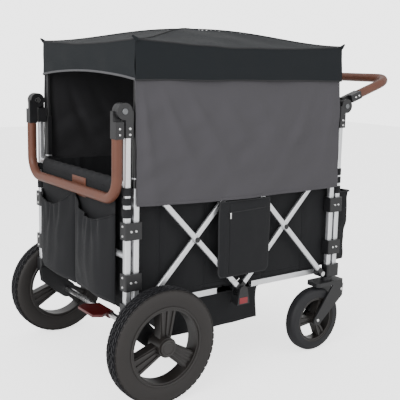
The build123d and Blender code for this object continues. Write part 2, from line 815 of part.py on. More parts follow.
with BuildPart() as side_pocket:
    with BuildSketch(side_plane(bars_out + clear)):
        with Locations((mid_x, (side_pocket_z[0] + side_pocket_z[1]) / 2)):
            RectangleRounded(2 * side_pocket_half, side_pocket_z[1] - side_pocket_z[0], 14)
    extrude(amount=side_pocket_thick)
    with BuildSketch(side_plane(bars_out)):
        with Locations((mid_x, (side_pocket_hollow[0] + side_pocket_hollow[1]) / 2)):
            Rectangle(2 * side_pocket_half, side_pocket_hollow[1] - side_pocket_hollow[0])
    extrude(amount=head_thick + 3 * clear, mode=Mode.SUBTRACT)
write(side_pocket, "side_pocket")

with BuildPart() as under_basket:
    with BuildSketch(Plane.XY.offset(basket_z[0])):
        with Locations((mid_x + (basket_x[0] + basket_x[1]) / 2, 0)):
            RectangleRounded(basket_x[1] - basket_x[0], 2 * basket_half_wide, 12)
    extrude(amount=basket_z[1] - basket_z[0])
    offset(amount=-basket_wall, openings=under_basket.faces().sort_by(Axis.Z)[-1])
write(under_basket, "under_basket")


# Canopy
def roof_block(shrink, mode):
    """Solid from the valance's foot to the peak, drawn in all round and lowered by shrink."""
    outlines = (
        (valance_foot, 1, 0), (canopy_edge_z, 1, shrink), (canopy_mid_z, 0.6, shrink), (canopy_peak_z, 0.12, shrink),
    )
    sections = []
    for z, share, drop in outlines:
        with BuildSketch(Plane.XY.offset(z - drop)) as outline:
            with Locations((mid_x, 0)):
                Rectangle(2 * (canopy_half_long * share - shrink), 2 * (canopy_half_wide * share - shrink))
        sections.append(outline.sketch)
    loft(sections, ruled=True, mode=mode)


with BuildPart() as canopy_roof:
    roof_block(0, Mode.ADD)
    roof_block(canopy_cloth, Mode.SUBTRACT)
write(canopy_roof, "canopy_roof")

with BuildPart() as canopy_curtains:
    with BuildSketch(Plane.YZ.offset(mid_x - curtain_half_long)):
        with BuildLine():
            Polyline(
                *[(-y, z) for z, y in curtain_line],
                *[(-y - curtain_cloth, z) for z, y in reversed(curtain_line)],
                (-curtain_line[0][1], curtain_line[0][0]),
            )
        make_face()
    extrude(amount=2 * curtain_half_long)
    mirror(about=Plane.XZ)
write(canopy_curtains, "canopy_curtains")

with BuildPart() as canopy_rods:
    with BuildSketch(Plane.XY.offset(rod_hub_z[0])):
        with Locations((mid_x, 0)):
            Circle(rod_hub_r)
    extrude(amount=rod_hub_z[1] - rod_hub_z[0])
    fillet(canopy_rods.edges().filter_by(GeomType.CIRCLE), 3)
    run = math.hypot(inner_x, post_y)
    for end in (-1, 1):
        rod_plane = Plane(
            origin=(mid_x, 0, 0), x_dir=(end * inner_x, -post_y, 0), z_dir=(-post_y, -end * inner_x, 0),
        )
        with BuildLine(rod_plane) as bow:
            ThreePointArc((rod_hub_r - 4, 903), (0.6 * run, 897), (run, pole_top + rod_r + 0.2))
        with BuildSketch(Plane(origin=bow.line @ 0, z_dir=bow.line % 0)):
            Circle(rod_r)
        sweep(path=bow.line)
    mirror(about=Plane.XZ)
write(canopy_rods, "canopy_rods")

print(f"fold angle {fold_angle:.3f} degrees, bar angle {bar_angle:.3f}, mid_x {mid_x:.3f}")
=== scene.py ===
import json
import math
import bpy
from mathutils import Matrix, Vector, noise


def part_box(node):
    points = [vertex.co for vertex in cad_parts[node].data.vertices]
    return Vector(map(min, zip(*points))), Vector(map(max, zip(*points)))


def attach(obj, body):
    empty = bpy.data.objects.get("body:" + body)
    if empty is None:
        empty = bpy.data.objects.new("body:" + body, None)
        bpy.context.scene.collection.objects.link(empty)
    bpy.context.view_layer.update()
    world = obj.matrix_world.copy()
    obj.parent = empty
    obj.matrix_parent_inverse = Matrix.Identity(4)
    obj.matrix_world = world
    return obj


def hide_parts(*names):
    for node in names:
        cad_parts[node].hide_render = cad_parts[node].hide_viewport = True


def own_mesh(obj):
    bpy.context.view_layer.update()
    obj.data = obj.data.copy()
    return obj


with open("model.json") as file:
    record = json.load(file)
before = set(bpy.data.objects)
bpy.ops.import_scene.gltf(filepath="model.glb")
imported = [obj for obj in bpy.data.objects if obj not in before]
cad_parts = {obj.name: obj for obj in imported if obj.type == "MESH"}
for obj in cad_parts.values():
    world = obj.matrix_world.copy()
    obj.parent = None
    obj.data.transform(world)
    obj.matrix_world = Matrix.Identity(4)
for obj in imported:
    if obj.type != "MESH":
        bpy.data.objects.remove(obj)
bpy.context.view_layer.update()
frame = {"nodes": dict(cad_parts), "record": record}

nodes = frame["nodes"]
roofLow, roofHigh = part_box("canopy_roof")
middleX = (roofLow.x + roofHigh.x) / 2          # middle of the wagon
postHalf = (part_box("rear_outer_frame")[1].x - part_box("rear_outer_frame")[0].x) / 2
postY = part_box("rear_outer_frame")[1].y - postHalf
rearPostX = (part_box("rear_outer_frame")[0].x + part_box("rear_outer_frame")[1].x) / 2
frontPostX = (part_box("front_outer_frame")[0].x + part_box("front_outer_frame")[1].x) / 2
print("frame loaded")


# camera and light
viewpoint = {
    "place": (-1.2083, -1.7351, 0.8276), "turn": 35.7, "down": 9.3, "roll": 1.2, "lens": 66.1,
    "shiftY": -0.0418
}


def placeCamera():
    bpy.ops.object.camera_add(location=Vector(viewpoint["place"]) + Vector((middleX, 0, 0)))
    camera = bpy.context.object
    turned = Matrix.Rotation(-math.radians(viewpoint["turn"]), 3, "Z")
    tipped = Matrix.Rotation(math.radians(90 - viewpoint["down"]), 3, "X")
    rolled = Matrix.Rotation(math.radians(viewpoint["roll"]), 3, "Z")
    camera.rotation_euler = (turned @ tipped @ rolled).to_euler()
    camera.data.lens = viewpoint["lens"]
    camera.data.sensor_width = 36
    camera.data.shift_y = viewpoint["shiftY"]
    bpy.context.scene.camera = camera


def addLight(name, place, aim, size, power, tint=(1, 1, 1)):
    bpy.ops.object.light_add(type="AREA", location=place)
    lamp = bpy.context.object
    lamp.name = name
    lamp.rotation_euler = (Vector(aim) - Vector(place)).to_track_quat("-Z", "Y").to_euler()
    lamp.data.shape = "RECTANGLE"
    lamp.data.size = size[0]
    lamp.data.size_y = size[1]
    lamp.data.energy = power
    lamp.data.color = tint


studio = {"sky": 1.15, "seenSky": 3.4, "seenFloor": 1.9, "keyPower": 60, "sidePower": 16, "topPower": 4}
placeCamera()
addLight("keyLight", (-2.6, -1.2, 1.7), (middleX, 0, 0.5), (1.8, 1.8), studio["keyPower"])
addLight("sideLight", (0.9, -2.8, 1.2), (middleX, 0, 0.4), (2.2, 1.4), studio["sidePower"])
addLight("topLight", (0.0, 0.3, 2.8), (middleX, 0, 0.3), (2.4, 2.4), studio["topPower"])
world = bpy.data.worlds.new("studio")
world.use_nodes = True
world.node_tree.nodes["Background"].inputs["Color"].default_value = (1, 1, 1, 1)
skyTree = world.node_tree
lightPath = skyTree.nodes.new("ShaderNodeLightPath")
brighter = skyTree.nodes.new("ShaderNodeMath")
brighter.operation = "MULTIPLY_ADD"
brighter.inputs[1].default_value = studio["seenSky"] - studio["sky"]
brighter.inputs[2].default_value = studio["sky"]
skyTree.links.new(lightPath.outputs["Is Camera Ray"], brighter.inputs[0])
skyTree.links.new(brighter.outputs[0], skyTree.nodes["Background"].inputs["Strength"])
bpy.context.scene.world = world


# working helpers
def deselect():
    if bpy.context.object and bpy.context.object.mode != "OBJECT":
        bpy.ops.object.mode_set(mode="OBJECT")
    bpy.ops.object.select_all(action="DESELECT")


def pick(piece):
    deselect()
    piece.select_set(True)
    bpy.context.view_layer.objects.active = piece


def named(name):
    piece = bpy.context.object
    piece.name = name
    piece.data.name = name
    return piece


def settle(piece):
    # place goes into the mesh, as on the CAD nodes
    pick(piece)
    bpy.ops.object.transform_apply(location=True, rotation=True, scale=True)


def applied(piece, kind, **settings):
    pick(piece)
    modifier = piece.modifiers.new(kind.lower(), kind)
    for key, value in settings.items():
        setattr(modifier, key, value)
    bpy.ops.object.modifier_apply(modifier=modifier.name)


def smooth(piece, angle=40):
    pick(piece)
    bpy.ops.object.shade_smooth_by_angle(angle=math.radians(angle))


def chooseFaces(piece, wanted):
    # leaves the piece in edit mode with the wanted faces selected
    pick(piece)
    bpy.ops.object.mode_set(mode="EDIT")
    bpy.ops.mesh.select_mode(type="FACE")
    bpy.ops.mesh.select_all(action="DESELECT")
    bpy.ops.object.mode_set(mode="OBJECT")
    for face in piece.data.polygons:
        face.select = bool(wanted(face))
    bpy.ops.object.mode_set(mode="EDIT")


def tidyNormals(piece):
    pick(piece)
    bpy.ops.object.mode_set(mode="EDIT")
    bpy.ops.mesh.select_all(action="SELECT")
    bpy.ops.mesh.remove_doubles(threshold=0.00005)
    bpy.ops.mesh.normals_make_consistent(inside=False)
    bpy.ops.object.mode_set(mode="OBJECT")


def joined(name, pieces):
    deselect()
    for piece in pieces:
        piece.select_set(True)
    bpy.context.view_layer.objects.active = pieces[0]
    if len(pieces) > 1:
        bpy.ops.object.join()
    return named(name)


def clothSheet(name, across, up, place):
    # a flat grid pulled to its place; across and up run from -1 to 1
    deselect()
    bpy.ops.mesh.primitive_grid_add(x_subdivisions=across, y_subdivisions=up, size=2)
    sheet = named(name)
    for point in sheet.data.vertices:
        point.co = place(point.co.x, point.co.y)
    return sheet


def tubeAlong(name, runs, radius, closed=False, sides=3):
    # round piping, one spline for each run of points
    curve = bpy.data.curves.new(name, "CURVE")
    curve.dimensions = "3D"
    curve.bevel_depth = radius
    curve.bevel_resolution = sides
    curve.use_fill_caps = True
    for points in runs:
        spline = curve.splines.new("POLY")
        spline.points.add(len(points) - 1)
        for slot, point in zip(spline.points, points):
            slot.co = (*point, 1)
        spline.use_cyclic_u = closed
    tube = bpy.data.objects.new(name, curve)
    bpy.context.scene.collection.objects.link(tube)
    pick(tube)
    bpy.ops.object.convert(target="MESH")
    tube = named(name)
    bpy.ops.object.shade_smooth()
    return tube


def steps(count):
    return [-1 + 2 * i / (count - 1) for i in range(count)]


def stitchRuns(points, gap=0.006, length=0.0035):
    # short straight runs laid end to end with gaps, along a line of points
    runs = []
    walked = 0
    for first, last in zip(points, points[1:]):
        first, last = Vector(first), Vector(last)
        span = (last - first).length
        while walked < span - length:
            start = first.lerp(last, walked / span)
            runs.append((start, first.lerp(last, (walked + length) / span)))
            walked += gap
        walked = max(0, walked - span)
    return runs


def crease(x, y, z, size, depth):
    # soft unevenness of cloth, the same in each run
    return depth * noise.noise(Vector((x, y, z)) / size)


def wave(value, place, width):
    return math.exp(-((value - place) / width) ** 2)


# shader groups that several finishes share
def newGroup(name, inputs, outputs):
    group = bpy.data.node_groups.new(name, "ShaderNodeTree")
    for label, kind, value in inputs:
        socket = group.interface.new_socket(name=label, in_out="INPUT", socket_type=kind)
        socket.default_value = value
    for label, kind in outputs:
        group.interface.new_socket(name=label, in_out="OUTPUT", socket_type=kind)
    return group, group.nodes.new("NodeGroupInput"), group.nodes.new("NodeGroupOutput")


def mathNode(tree, operation, first, second):
    node = tree.nodes.new("ShaderNodeMath")
    node.operation = operation
    for socket, value in zip(node.inputs, (first, second)):
        if isinstance(value, (int, float)):
            socket.default_value = value
        elif value is not None:
            tree.links.new(value, socket)
    return node.outputs["Value"]


def makeWeave():
    # crossed threads on Object coordinates, with a slow change of tone
    colour, value = "NodeSocketColor", "NodeSocketFloat"
    group, given, made = newGroup(
        "clothWeave",
        [
            ("Colour", colour, (0.1, 0.1, 0.1, 1)), ("Thread", value, 0.003), ("Contrast", value, 0.3),
            ("Mottle", value, 0.2)
        ],
        [("Colour", colour), ("Roughness", value), ("Height", value)],
    )
    where = group.nodes.new("ShaderNodeTexCoord")
    split = group.nodes.new("ShaderNodeSeparateXYZ")
    group.links.new(where.outputs["Object"], split.inputs[0])
    along = mathNode(group, "ADD", split.outputs["X"], split.outputs["Y"])
    aslant = mathNode(group, "SUBTRACT", split.outputs["X"], split.outputs["Y"])
    upward = mathNode(group, "ADD", split.outputs["Z"], aslant)
    turns = mathNode(group, "DIVIDE", 6.2832, given.outputs["Thread"])
    warp = mathNode(group, "SINE", mathNode(group, "MULTIPLY", along, turns), None)
    weft = mathNode(group, "SINE", mathNode(group, "MULTIPLY", upward, turns), None)
    threads = mathNode(group, "MULTIPLY", warp, weft)
    clouds = group.nodes.new("ShaderNodeTexNoise")
    clouds.inputs["Scale"].default_value = 14
    clouds.inputs["Detail"].default_value = 4
    group.links.new(where.outputs["Object"], clouds.inputs["Vector"])
    tone = mathNode(
        group, "MULTIPLY", mathNode(group, "SUBTRACT", clouds.outputs["Fac"], 0.5), given.outputs["Mottle"]
    )
    grain = mathNode(group, "MULTIPLY", threads, given.outputs["Contrast"])
    lift = mathNode(group, "ADD", mathNode(group, "ADD", tone, grain), 1)
    tint = group.nodes.new("ShaderNodeMix")
    tint.data_type = "RGBA"
    tint.blend_type = "MULTIPLY"
    tint.inputs["Factor"].default_value = 1
    group.links.new(given.outputs["Colour"], tint.inputs["A"])
    group.links.new(lift, tint.inputs["B"])
    group.links.new(tint.outputs["Result"], made.inputs["Colour"])
    rough = mathNode(group, "ADD", mathNode(group, "MULTIPLY", clouds.outputs["Fac"], 0.2), 0.7)
    group.links.new(rough, made.inputs["Roughness"])
    group.links.new(threads, made.inputs["Height"])
    return group


def makeGrain():
    # fine spark-eroded or cast surface, with scuffs that lighten it a little
    colour, value = "NodeSocketColor", "NodeSocketFloat"
    group, given, made = newGroup(
        "mouldGrain",
        [
            ("Colour", colour, (0.1, 0.1, 0.1, 1)), ("Scale", value, 700), ("Scuff", value, 0.2),
            ("Roughness", value, 0.5)
        ],
        [("Colour", colour), ("Roughness", value), ("Height", value)],
    )
    where = group.nodes.new("ShaderNodeTexCoord")
    fine = group.nodes.new("ShaderNodeTexNoise")
    fine.inputs["Detail"].default_value = 3
    group.links.new(where.outputs["Object"], fine.inputs["Vector"])
    group.links.new(given.outputs["Scale"], fine.inputs["Scale"])
    broad = group.nodes.new("ShaderNodeTexNoise")
    broad.inputs["Scale"].default_value = 22
    broad.inputs["Detail"].default_value = 5
    group.links.new(where.outputs["Object"], broad.inputs["Vector"])
    worn = mathNode(
        group, "MULTIPLY", mathNode(group, "SUBTRACT", broad.outputs["Fac"], 0.5), given.outputs["Scuff"]
    )
    lift = mathNode(group, "ADD", worn, 1)
    tint = group.nodes.new("ShaderNodeMix")
    tint.data_type = "RGBA"
    tint.blend_type = "MULTIPLY"
    tint.inputs["Factor"].default_value = 1
    group.links.new(given.outputs["Colour"], tint.inputs["A"])
    group.links.new(lift, tint.inputs["B"])
    group.links.new(tint.outputs["Result"], made.inputs["Colour"])
    group.links.new(
        mathNode(group, "ADD", mathNode(group, "MULTIPLY", worn, 0.5), given.outputs["Roughness"]),
        made.inputs["Roughness"]
    )
    group.links.new(fine.outputs["Fac"], made.inputs["Height"])
    return group


def makeBrushed():
    # long drawn lines of extruded tube, along Z
    colour, value = "NodeSocketColor", "NodeSocketFloat"
    group, given, made = newGroup(
        "drawnMetal",
        [("Colour", colour, (0.7, 0.7, 0.7, 1)), ("Roughness", value, 0.3)],
        [("Colour", colour), ("Roughness", value), ("Height", value)],
    )
    where = group.nodes.new("ShaderNodeTexCoord")
    stretch = group.nodes.new("ShaderNodeMapping")
    stretch.inputs["Scale"].default_value = (260, 260, 6)
    lines = group.nodes.new("ShaderNodeTexNoise")
    lines.inputs["Scale"].default_value = 1
    lines.inputs["Detail"].default_value = 3
    group.links.new(where.outputs["Object"], stretch.inputs["Vector"])
    group.links.new(stretch.outputs["Vector"], lines.inputs["Vector"])
    shift = mathNode(group, "MULTIPLY", mathNode(group, "SUBTRACT", lines.outputs["Fac"], 0.5), 0.16)
    tint = group.nodes.new("ShaderNodeMix")
    tint.data_type = "RGBA"
    tint.blend_type = "MULTIPLY"
    tint.inputs["Factor"].default_value = 1
    group.links.new(given.outputs["Colour"], tint.inputs["A"])
    group.links.new(mathNode(group, "ADD", shift, 1), tint.inputs["B"])
    group.links.new(tint.outputs["Result"], made.inputs["Colour"])
    group.links.new(mathNode(group, "ADD", shift, given.outputs["Roughness"]), made.inputs["Roughness"])
    group.links.new(lines.outputs["Fac"], made.inputs["Height"])
    return group


weave = makeWeave()
grain = makeGrain()
brushed = makeBrushed()


def makeFinish(name, group, colour, given, bump, metallic=0.0, sheen=0.0, coat=0.0, specular=0.5):
    material = bpy.data.materials.new(name)
    material.use_nodes = True
    tree = material.node_tree
    shader = tree.nodes["Principled BSDF"]
    effect = tree.nodes.new("ShaderNodeGroup")
    effect.node_tree = group
    effect.inputs["Colour"].default_value = (*colour, 1)
    for key, value in given.items():
        effect.inputs[key].default_value = value
    tree.links.new(effect.outputs["Colour"], shader.inputs["Base Color"])
    tree.links.new(effect.outputs["Roughness"], shader.inputs["Roughness"])
    relief = tree.nodes.new("ShaderNodeBump")
    relief.inputs["Strength"].default_value = bump[0]
    relief.inputs["Distance"].default_value = bump[1]
    tree.links.new(effect.outputs["Height"], relief.inputs["Height"])
    tree.links.new(relief.outputs["Normal"], shader.inputs["Normal"])
    shader.inputs["Metallic"].default_value = metallic
    shader.inputs["Sheen Weight"].default_value = sheen
    shader.inputs["Sheen Roughness"].default_value = 0.4
    shader.inputs["Coat Weight"].default_value = coat
    shader.inputs["Specular IOR Level"].default_value = specular
    return material


finishes = {
    "frame_tube": makeFinish(
        "anodisedTube", brushed, (0.80, 0.81, 0.83), {"Roughness": 0.34}, (0.08, 0.0002), metallic=0.85
    ),
    "black_plastic": makeFinish(
        "texturedPlastic", grain, (0.0095, 0.0095, 0.0105), {"Scale": 900, "Scuff": 0.5, "Roughness": 0.42},
        (0.25, 0.0003)
    ),
    "rivet_steel": makeFinish(
        "rivetSteel", brushed, (0.72, 0.72, 0.72), {"Roughness": 0.28}, (0.05, 0.0002), metallic=1.0
    ),
    "black_steel": makeFinish(
        "powderCoat", grain, (0.008, 0.008, 0.009), {"Scale": 500, "Scuff": 0.3, "Roughness": 0.42},
        (0.12, 0.0003)
    ),
    "button_plastic": makeFinish(
        "buttonPlastic", grain, (0.12, 0.125, 0.13), {"Scale": 600, "Scuff": 0.3, "Roughness": 0.35},
        (0.1, 0.0002)
    ),
    "grip_leather": makeFinish(
        "gripLeather", grain, (0.112, 0.040, 0.023), {"Scale": 330, "Scuff": 0.5, "Roughness": 0.46},
        (0.3, 0.0006), coat=0.06, specular=0.35
    ),
    "tub_cloth": makeFinish(
        "tubCloth", weave, (0.0105, 0.0108, 0.0122), {"Thread": 0.0024, "Contrast": 0.35, "Mottle": 0.5},
        (0.35, 0.0004), sheen=0.03, specular=0.25
    ),
    "canopy_cloth": makeFinish(
        "canopyCloth", weave, (0.0095, 0.0115, 0.0135), {"Thread": 0.0022, "Contrast": 0.22, "Mottle": 0.3},
        (0.3, 0.0003), sheen=0.03, specular=0.2
    ),
    "curtain_cloth": makeFinish(
        "curtainCloth", weave, (0.060, 0.0575, 0.0635),
        {"Thread": 0.0026, "Contrast": 0.12, "Mottle": 0.16}, (0.25, 0.0003), sheen=0.03, specular=0.25
    ),
    "tyre_rubber": makeFinish(
        "tyreRubber", grain, (0.0165, 0.0142, 0.0132), {"Scale": 420, "Scuff": 0.6, "Roughness": 0.58},
        (0.25, 0.0004), specular=0.4
    ),
    "rim_plastic": makeFinish(
        "rimPlastic", grain, (0.0150, 0.0128, 0.0118), {"Scale": 800, "Scuff": 0.4, "Roughness": 0.40},
        (0.2, 0.0003)
    ),
    "pedal_red": makeFinish(
        "pedalRed", grain, (0.085, 0.006, 0.006), {"Scale": 500, "Scuff": 0.5, "Roughness": 0.33},
        (0.12, 0.0003), coat=0.2
    ),
}
# much darker cloth, given to the curtain faces that are turned in towards the wagon
inwardFaceCloth = makeFinish(
    "curtainInwardFaces", weave, (0.013, 0.0125, 0.0145), {"Thread": 0.0026, "Contrast": 0.15, "Mottle": 0.4},
    (0.2, 0.0003), sheen=0.1
)
paleTrim = makeFinish(
    "paleTrim", weave, (0.075, 0.075, 0.080), {"Thread": 0.002, "Contrast": 0.2, "Mottle": 0.1},
    (0.2, 0.0002)
)
darkThread = makeFinish(
    "darkThread", weave, (0.012, 0.0125, 0.014), {"Thread": 0.0012, "Contrast": 0.2, "Mottle": 0.1},
    (0.2, 0.0002)
)
tanThread = makeFinish(
    "tanThread", weave, (0.30, 0.115, 0.06), {"Thread": 0.0012, "Contrast": 0.2, "Mottle": 0.1},
    (0.2, 0.0002)
)
whiteCord = makeFinish(
    "whiteCord", weave, (0.70, 0.70, 0.69), {"Thread": 0.0015, "Contrast": 0.2, "Mottle": 0.1},
    (0.2, 0.0002)
)
insertRed = makeFinish(
    "insertRed", grain, (0.22, 0.016, 0.022), {"Scale": 500, "Scuff": 0.3, "Roughness": 0.4}, (0.1, 0.0002)
)
floorPaint = makeFinish(
    "studioFloor", grain, (0.86, 0.86, 0.86), {"Scale": 60, "Scuff": 0.01, "Roughness": 0.6}, (0.0, 0.0001),
    specular=0.1
)


def dress(piece, material, body, replaces=()):
    piece.data.materials.clear()
    piece.data.materials.append(material)
    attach(piece, body)
    if replaces:
        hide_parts(*replaces)


for entry in frame["record"]["subparts"]:
    node = nodes[entry["node"]]
    node.data.materials.clear()
    node.data.materials.append(finishes[entry["material_slot"]])
treadRubber = makeFinish(
    "treadRubber", grain, (0.0095, 0.0095, 0.0115), {"Scale": 300, "Scuff": 0.6, "Roughness": 0.6},
    (0.3, 0.0005), specular=0.4
)
print("finishes made")

deselect()
bpy.ops.mesh.primitive_plane_add(size=14, location=(0, 0, -0.0005))
floor = named("studioGround")
floor.data.materials.append(floorPaint)
floorTree = floorPaint.node_tree
floorGlow = floorTree.nodes.new("ShaderNodeMath")  # the floor looks as pale as the sky, but lights nothing
floorGlow.operation = "MULTIPLY"
floorGlow.inputs[1].default_value = studio["seenFloor"]
floorTree.links.new(floorTree.nodes.new("ShaderNodeLightPath").outputs["Is Camera Ray"], floorGlow.inputs[0])
floorTree.links.new(floorGlow.outputs[0], floorTree.nodes["Principled BSDF"].inputs["Emission Strength"])
floorTree.nodes["Principled BSDF"].inputs["Emission Color"].default_value = (1, 1, 1, 1)


# canopy
canopy = {
    "halfLong": 0.3365, "halfWide": 0.2565, "corner": 0.880, "sideSag": 0.013, "endSag": 0.009, "peak": 0.921,
    "foot": 0.786, "endArch": 0.015, "thick": 0.0014, "foldedShare": 0.444,
}


def roofPoint(across, along):
    reach = max(abs(across), abs(along))
    hip = (min(abs(across), abs(along)) / reach) ** 2 if reach else 1
    sag = canopy["sideSag"] if abs(along) > abs(across) else canopy["endSag"]
    rise = canopy["peak"] - canopy["corner"]
    rodHeight = canopy["corner"] + rise * (0.5 + 0.5 * math.cos(math.pi * reach ** 1.15))
    clothHeight = canopy["peak"] - (rise + sag) * reach ** 1.25
    x = middleX + canopy["halfLong"] * across
    y = canopy["halfWide"] * along
    height = rodHeight * hip + clothHeight * (1 - hip) + crease(x, y, 0, 0.09, 0.003) * (1 - hip)
    return Vector((x, y, height))


def sideValance(side):
    def place(across, up):
        top = roofPoint(across, side)
        bottom = canopy["foot"] + crease(top.x, side, 0, 0.16, 0.003)
        drop = (1 - up) / 2
        out = 0.0015 * math.sin(across * 9 + side) * drop + crease(
            top.x, side * 2, drop * 0.2, 0.07, 0.003
        ) * drop
        return Vector((top.x, top.y + side * (out + 0.0035 * drop), top.z * (1 - drop) + bottom * drop))
    return place


def endValance(end):
    def place(across, up):
        top = roofPoint(end, across)
        bottom = canopy["foot"] + canopy["endArch"] * (1 - across ** 2)
        drop = (1 - up) / 2
        out = crease(top.y, end * 3, drop * 0.2, 0.08, 0.004) * drop
        return Vector((top.x + end * out, top.y, top.z * (1 - drop) + bottom * drop))
    return place


def foldsAway(piece):
    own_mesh(piece)


roof = clothSheet("canopyRoof", 96, 72, roofPoint)
applied(roof, "SOLIDIFY", thickness=canopy["thick"], offset=-1)
smooth(roof, 50)
dress(roof, finishes["canopy_cloth"], "rear_frame", ("canopy_roof",))

valances = [clothSheet("valance", 80, 12, sideValance(side)) for side in (-1, 1)]
valances += [clothSheet("valance", 60, 12, endValance(end)) for end in (-1, 1)]
for valance in valances:
    tidyNormals(valance)
    applied(valance, "SOLIDIFY", thickness=canopy["thick"], offset=0)
valance = joined("canopyValance", valances)
smooth(valance, 50)
dress(valance, finishes["canopy_cloth"], "rear_frame")

roofEdge = [roofPoint(u, -1) for u in steps(40)] + [roofPoint(1, v) for v in steps(30)]
roofEdge += [roofPoint(-u, 1) for u in steps(40)] + [roofPoint(-1, -v) for v in steps(30)]
roofPiping = tubeAlong("roofPiping", [roofEdge], 0.0021, closed=True)
hips = [
    [roofPoint(a * s, a * t) + Vector((0, 0, 0.0006)) for a in [i / 24 for i in range(25)]]
    for s in (-1, 1)
    for t in (-1, 1)
]
hipSeams = tubeAlong("hipSeams", hips, 0.0016)
sideHems = [[sideValance(side)(u, -1) for u in steps(60)] for side in (-1, 1)]
hemTube = tubeAlong("valanceHem", sideHems, 0.0019)
seams = joined("canopySeams", [roofPiping, hipSeams, hemTube])
dress(seams, darkThread, "rear_frame")

endHems = []
for end in (-1, 1):
    def band(across, up, end=end):
        low = endValance(end)(across, -1)
        return low + Vector((end * (0.0012 + 0.001 * (1 - up * up)), 0, 0.0025 * (up + 0.6)))
    endHems.append(clothSheet("endHem", 50, 4, band))
endHem = joined("canopyEndTrim", endHems)
applied(endHem, "SOLIDIFY", thickness=0.0012, offset=0)
smooth(endHem, 60)
dress(endHem, paleTrim, "rear_frame")

cornerCaps = []
for side in (-1, 1):
    for end in (-1, 1):
        deselect()
        place = roofPoint(end, side)
        bpy.ops.mesh.primitive_cone_add(
            vertices=14, radius1=0.006, radius2=0.0022, depth=0.017,
            location=place + Vector((end * 0.002, side * 0.001, 0.002)), rotation=(0, end * 0.9, 0)
        )
        cap = named("cornerCap")
        settle(cap)
        cornerCaps.append(cap)
corners = joined("canopyCornerCaps", cornerCaps)
applied(corners, "BEVEL", width=0.001, segments=2)
smooth(corners, 50)
dress(corners, finishes["canopy_cloth"], "rear_frame")

bowLines = [
    [roofPoint(a * s, a * t) - Vector((0, 0, 0.0055)) for a in [0.06 + 0.91 * i / 24 for i in range(25)]]
    for s in (-1, 1)
    for t in (-1, 1)
]
bows = tubeAlong("bows", bowLines, 0.003)
deselect()
bpy.ops.mesh.primitive_cylinder_add(
    vertices=48, radius=0.030, depth=0.014, location=(middleX, 0, canopy["peak"] - 0.013)
)
hub = named("hub")
settle(hub)
applied(hub, "BEVEL", width=0.003, segments=3)
rods = joined("canopyBows", [bows, hub])
smooth(rods, 40)
dress(rods, finishes["black_steel"], "rear_frame", ("canopy_rods",))
for piece in (roof, valance, seams, endHem, corners, rods):
    foldsAway(piece)
print("canopy made")

# curtains
curtain = {
    "halfLong": 0.334, "top": 0.800, "foot": (0.490, 0.481, 0.484), "thick": 0.001, "foldDepth": 0.018,
    # start along the rail, lean, width, depth of each soft fold
    "folds": (
        (-0.95, 0.10, 0.04, 0.7), (-0.80, 0.45, 0.06, 0.8), (-0.58, 0.62, 0.07, 0.7),
        (-0.30, 0.66, 0.09, 0.6), (0.02, 0.60, 0.10, 0.6), (0.42, -0.45, 0.10, 0.55),
        (0.72, -0.50, 0.07, 0.7), (0.93, -0.14, 0.05, 0.6)
    ),
}


def curtainGap(height):
    # distance of the curtain from the middle plane, by height
    line = ((0.484, 0.2620), (0.560, 0.2612), (0.670, 0.2586), (0.800, 0.2548))
    for low, high in zip(line, line[1:]):
        if height <= high[0]:
            share = (height - low[0]) / (high[0] - low[0])
            return low[1] + (high[1] - low[1]) * share
    return line[-1][1]


def curtainPoint(side):
    def place(across, up):
        endFoot = curtain["foot"][0 if across < 0 else 2]
        foot = curtain["foot"][1] + (endFoot - curtain["foot"][1]) * across ** 2
        height = foot + (curtain["top"] - foot) * (up + 1) / 2
        x = middleX + curtain["halfLong"] * across
        fold = 0
        low = (1 - up) / 2
        for start, lean, width, depth in curtain["folds"]:
            fold += depth * wave(
                across, start + lean * low ** 1.3, width * (0.5 + low)
            ) * (0.3 + 0.7 * math.sin(math.pi * min(1, low * 1.25)))
        fold += 0.35 + crease(
            x - height * 0.8, side, height, 0.06, 0.45
        ) + crease(x, side * 3, height * 2.2, 0.12, 0.4)
        slack = max(0, min(1, (0.782 - height) / 0.10))
        stand = curtain["foldDepth"] * max(-0.05, fold) * slack * 0.5
        return Vector((x, side * (curtainGap(height) + stand), height))
    return place


for side, hand in ((-1, "Right"), (1, "Left")):
    sheet = clothSheet("curtain" + hand, 130, 60, curtainPoint(side))
    tidyNormals(sheet)
    applied(sheet, "SOLIDIFY", thickness=curtain["thick"], offset=0)
    smooth(sheet, 60)
    dress(
        sheet, finishes["curtain_cloth"], "rear_frame",
        ("canopy_curtains",) if side < 0 else ()
    )
    sheet.data.materials.append(inwardFaceCloth)
    # faces turned in towards the wagon take the much darker cloth, the outward faces the grey one
    for face in sheet.data.polygons:
        face.material_index = 1 if face.normal.y * side < -0.3 else 0
    hemLine = [curtainPoint(side)(u, -0.955) + Vector((0, side * 0.0008, 0)) for u in steps(60)]
    edgeLines = [[curtainPoint(side)(u, v) for v in steps(24)] for u in (-1, 1)]
    stitches = tubeAlong("curtainStitches" + hand, stitchRuns(hemLine), 0.0004, sides=1)
    edges = tubeAlong(
        "curtainEdges" + hand, [*edgeLines, [curtainPoint(side)(u, -1) for u in steps(60)]], 0.0013
    )
    trim = joined("curtainTrim" + hand, [edges, stitches])
    dress(trim, finishes["curtain_cloth"], "rear_frame")
    foldsAway(sheet)
    foldsAway(trim)
print("curtains made")

# tub walls
tubLow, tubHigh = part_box("tub_sides")
tub = {
    "halfLong": (tubHigh.x - tubLow.x) / 2 - 0.0015, "outer": tubHigh.y - 0.0005, "low": 0.2425,
    "top": 0.545, "thick": 0.003, "foldedShare": 0.446
}


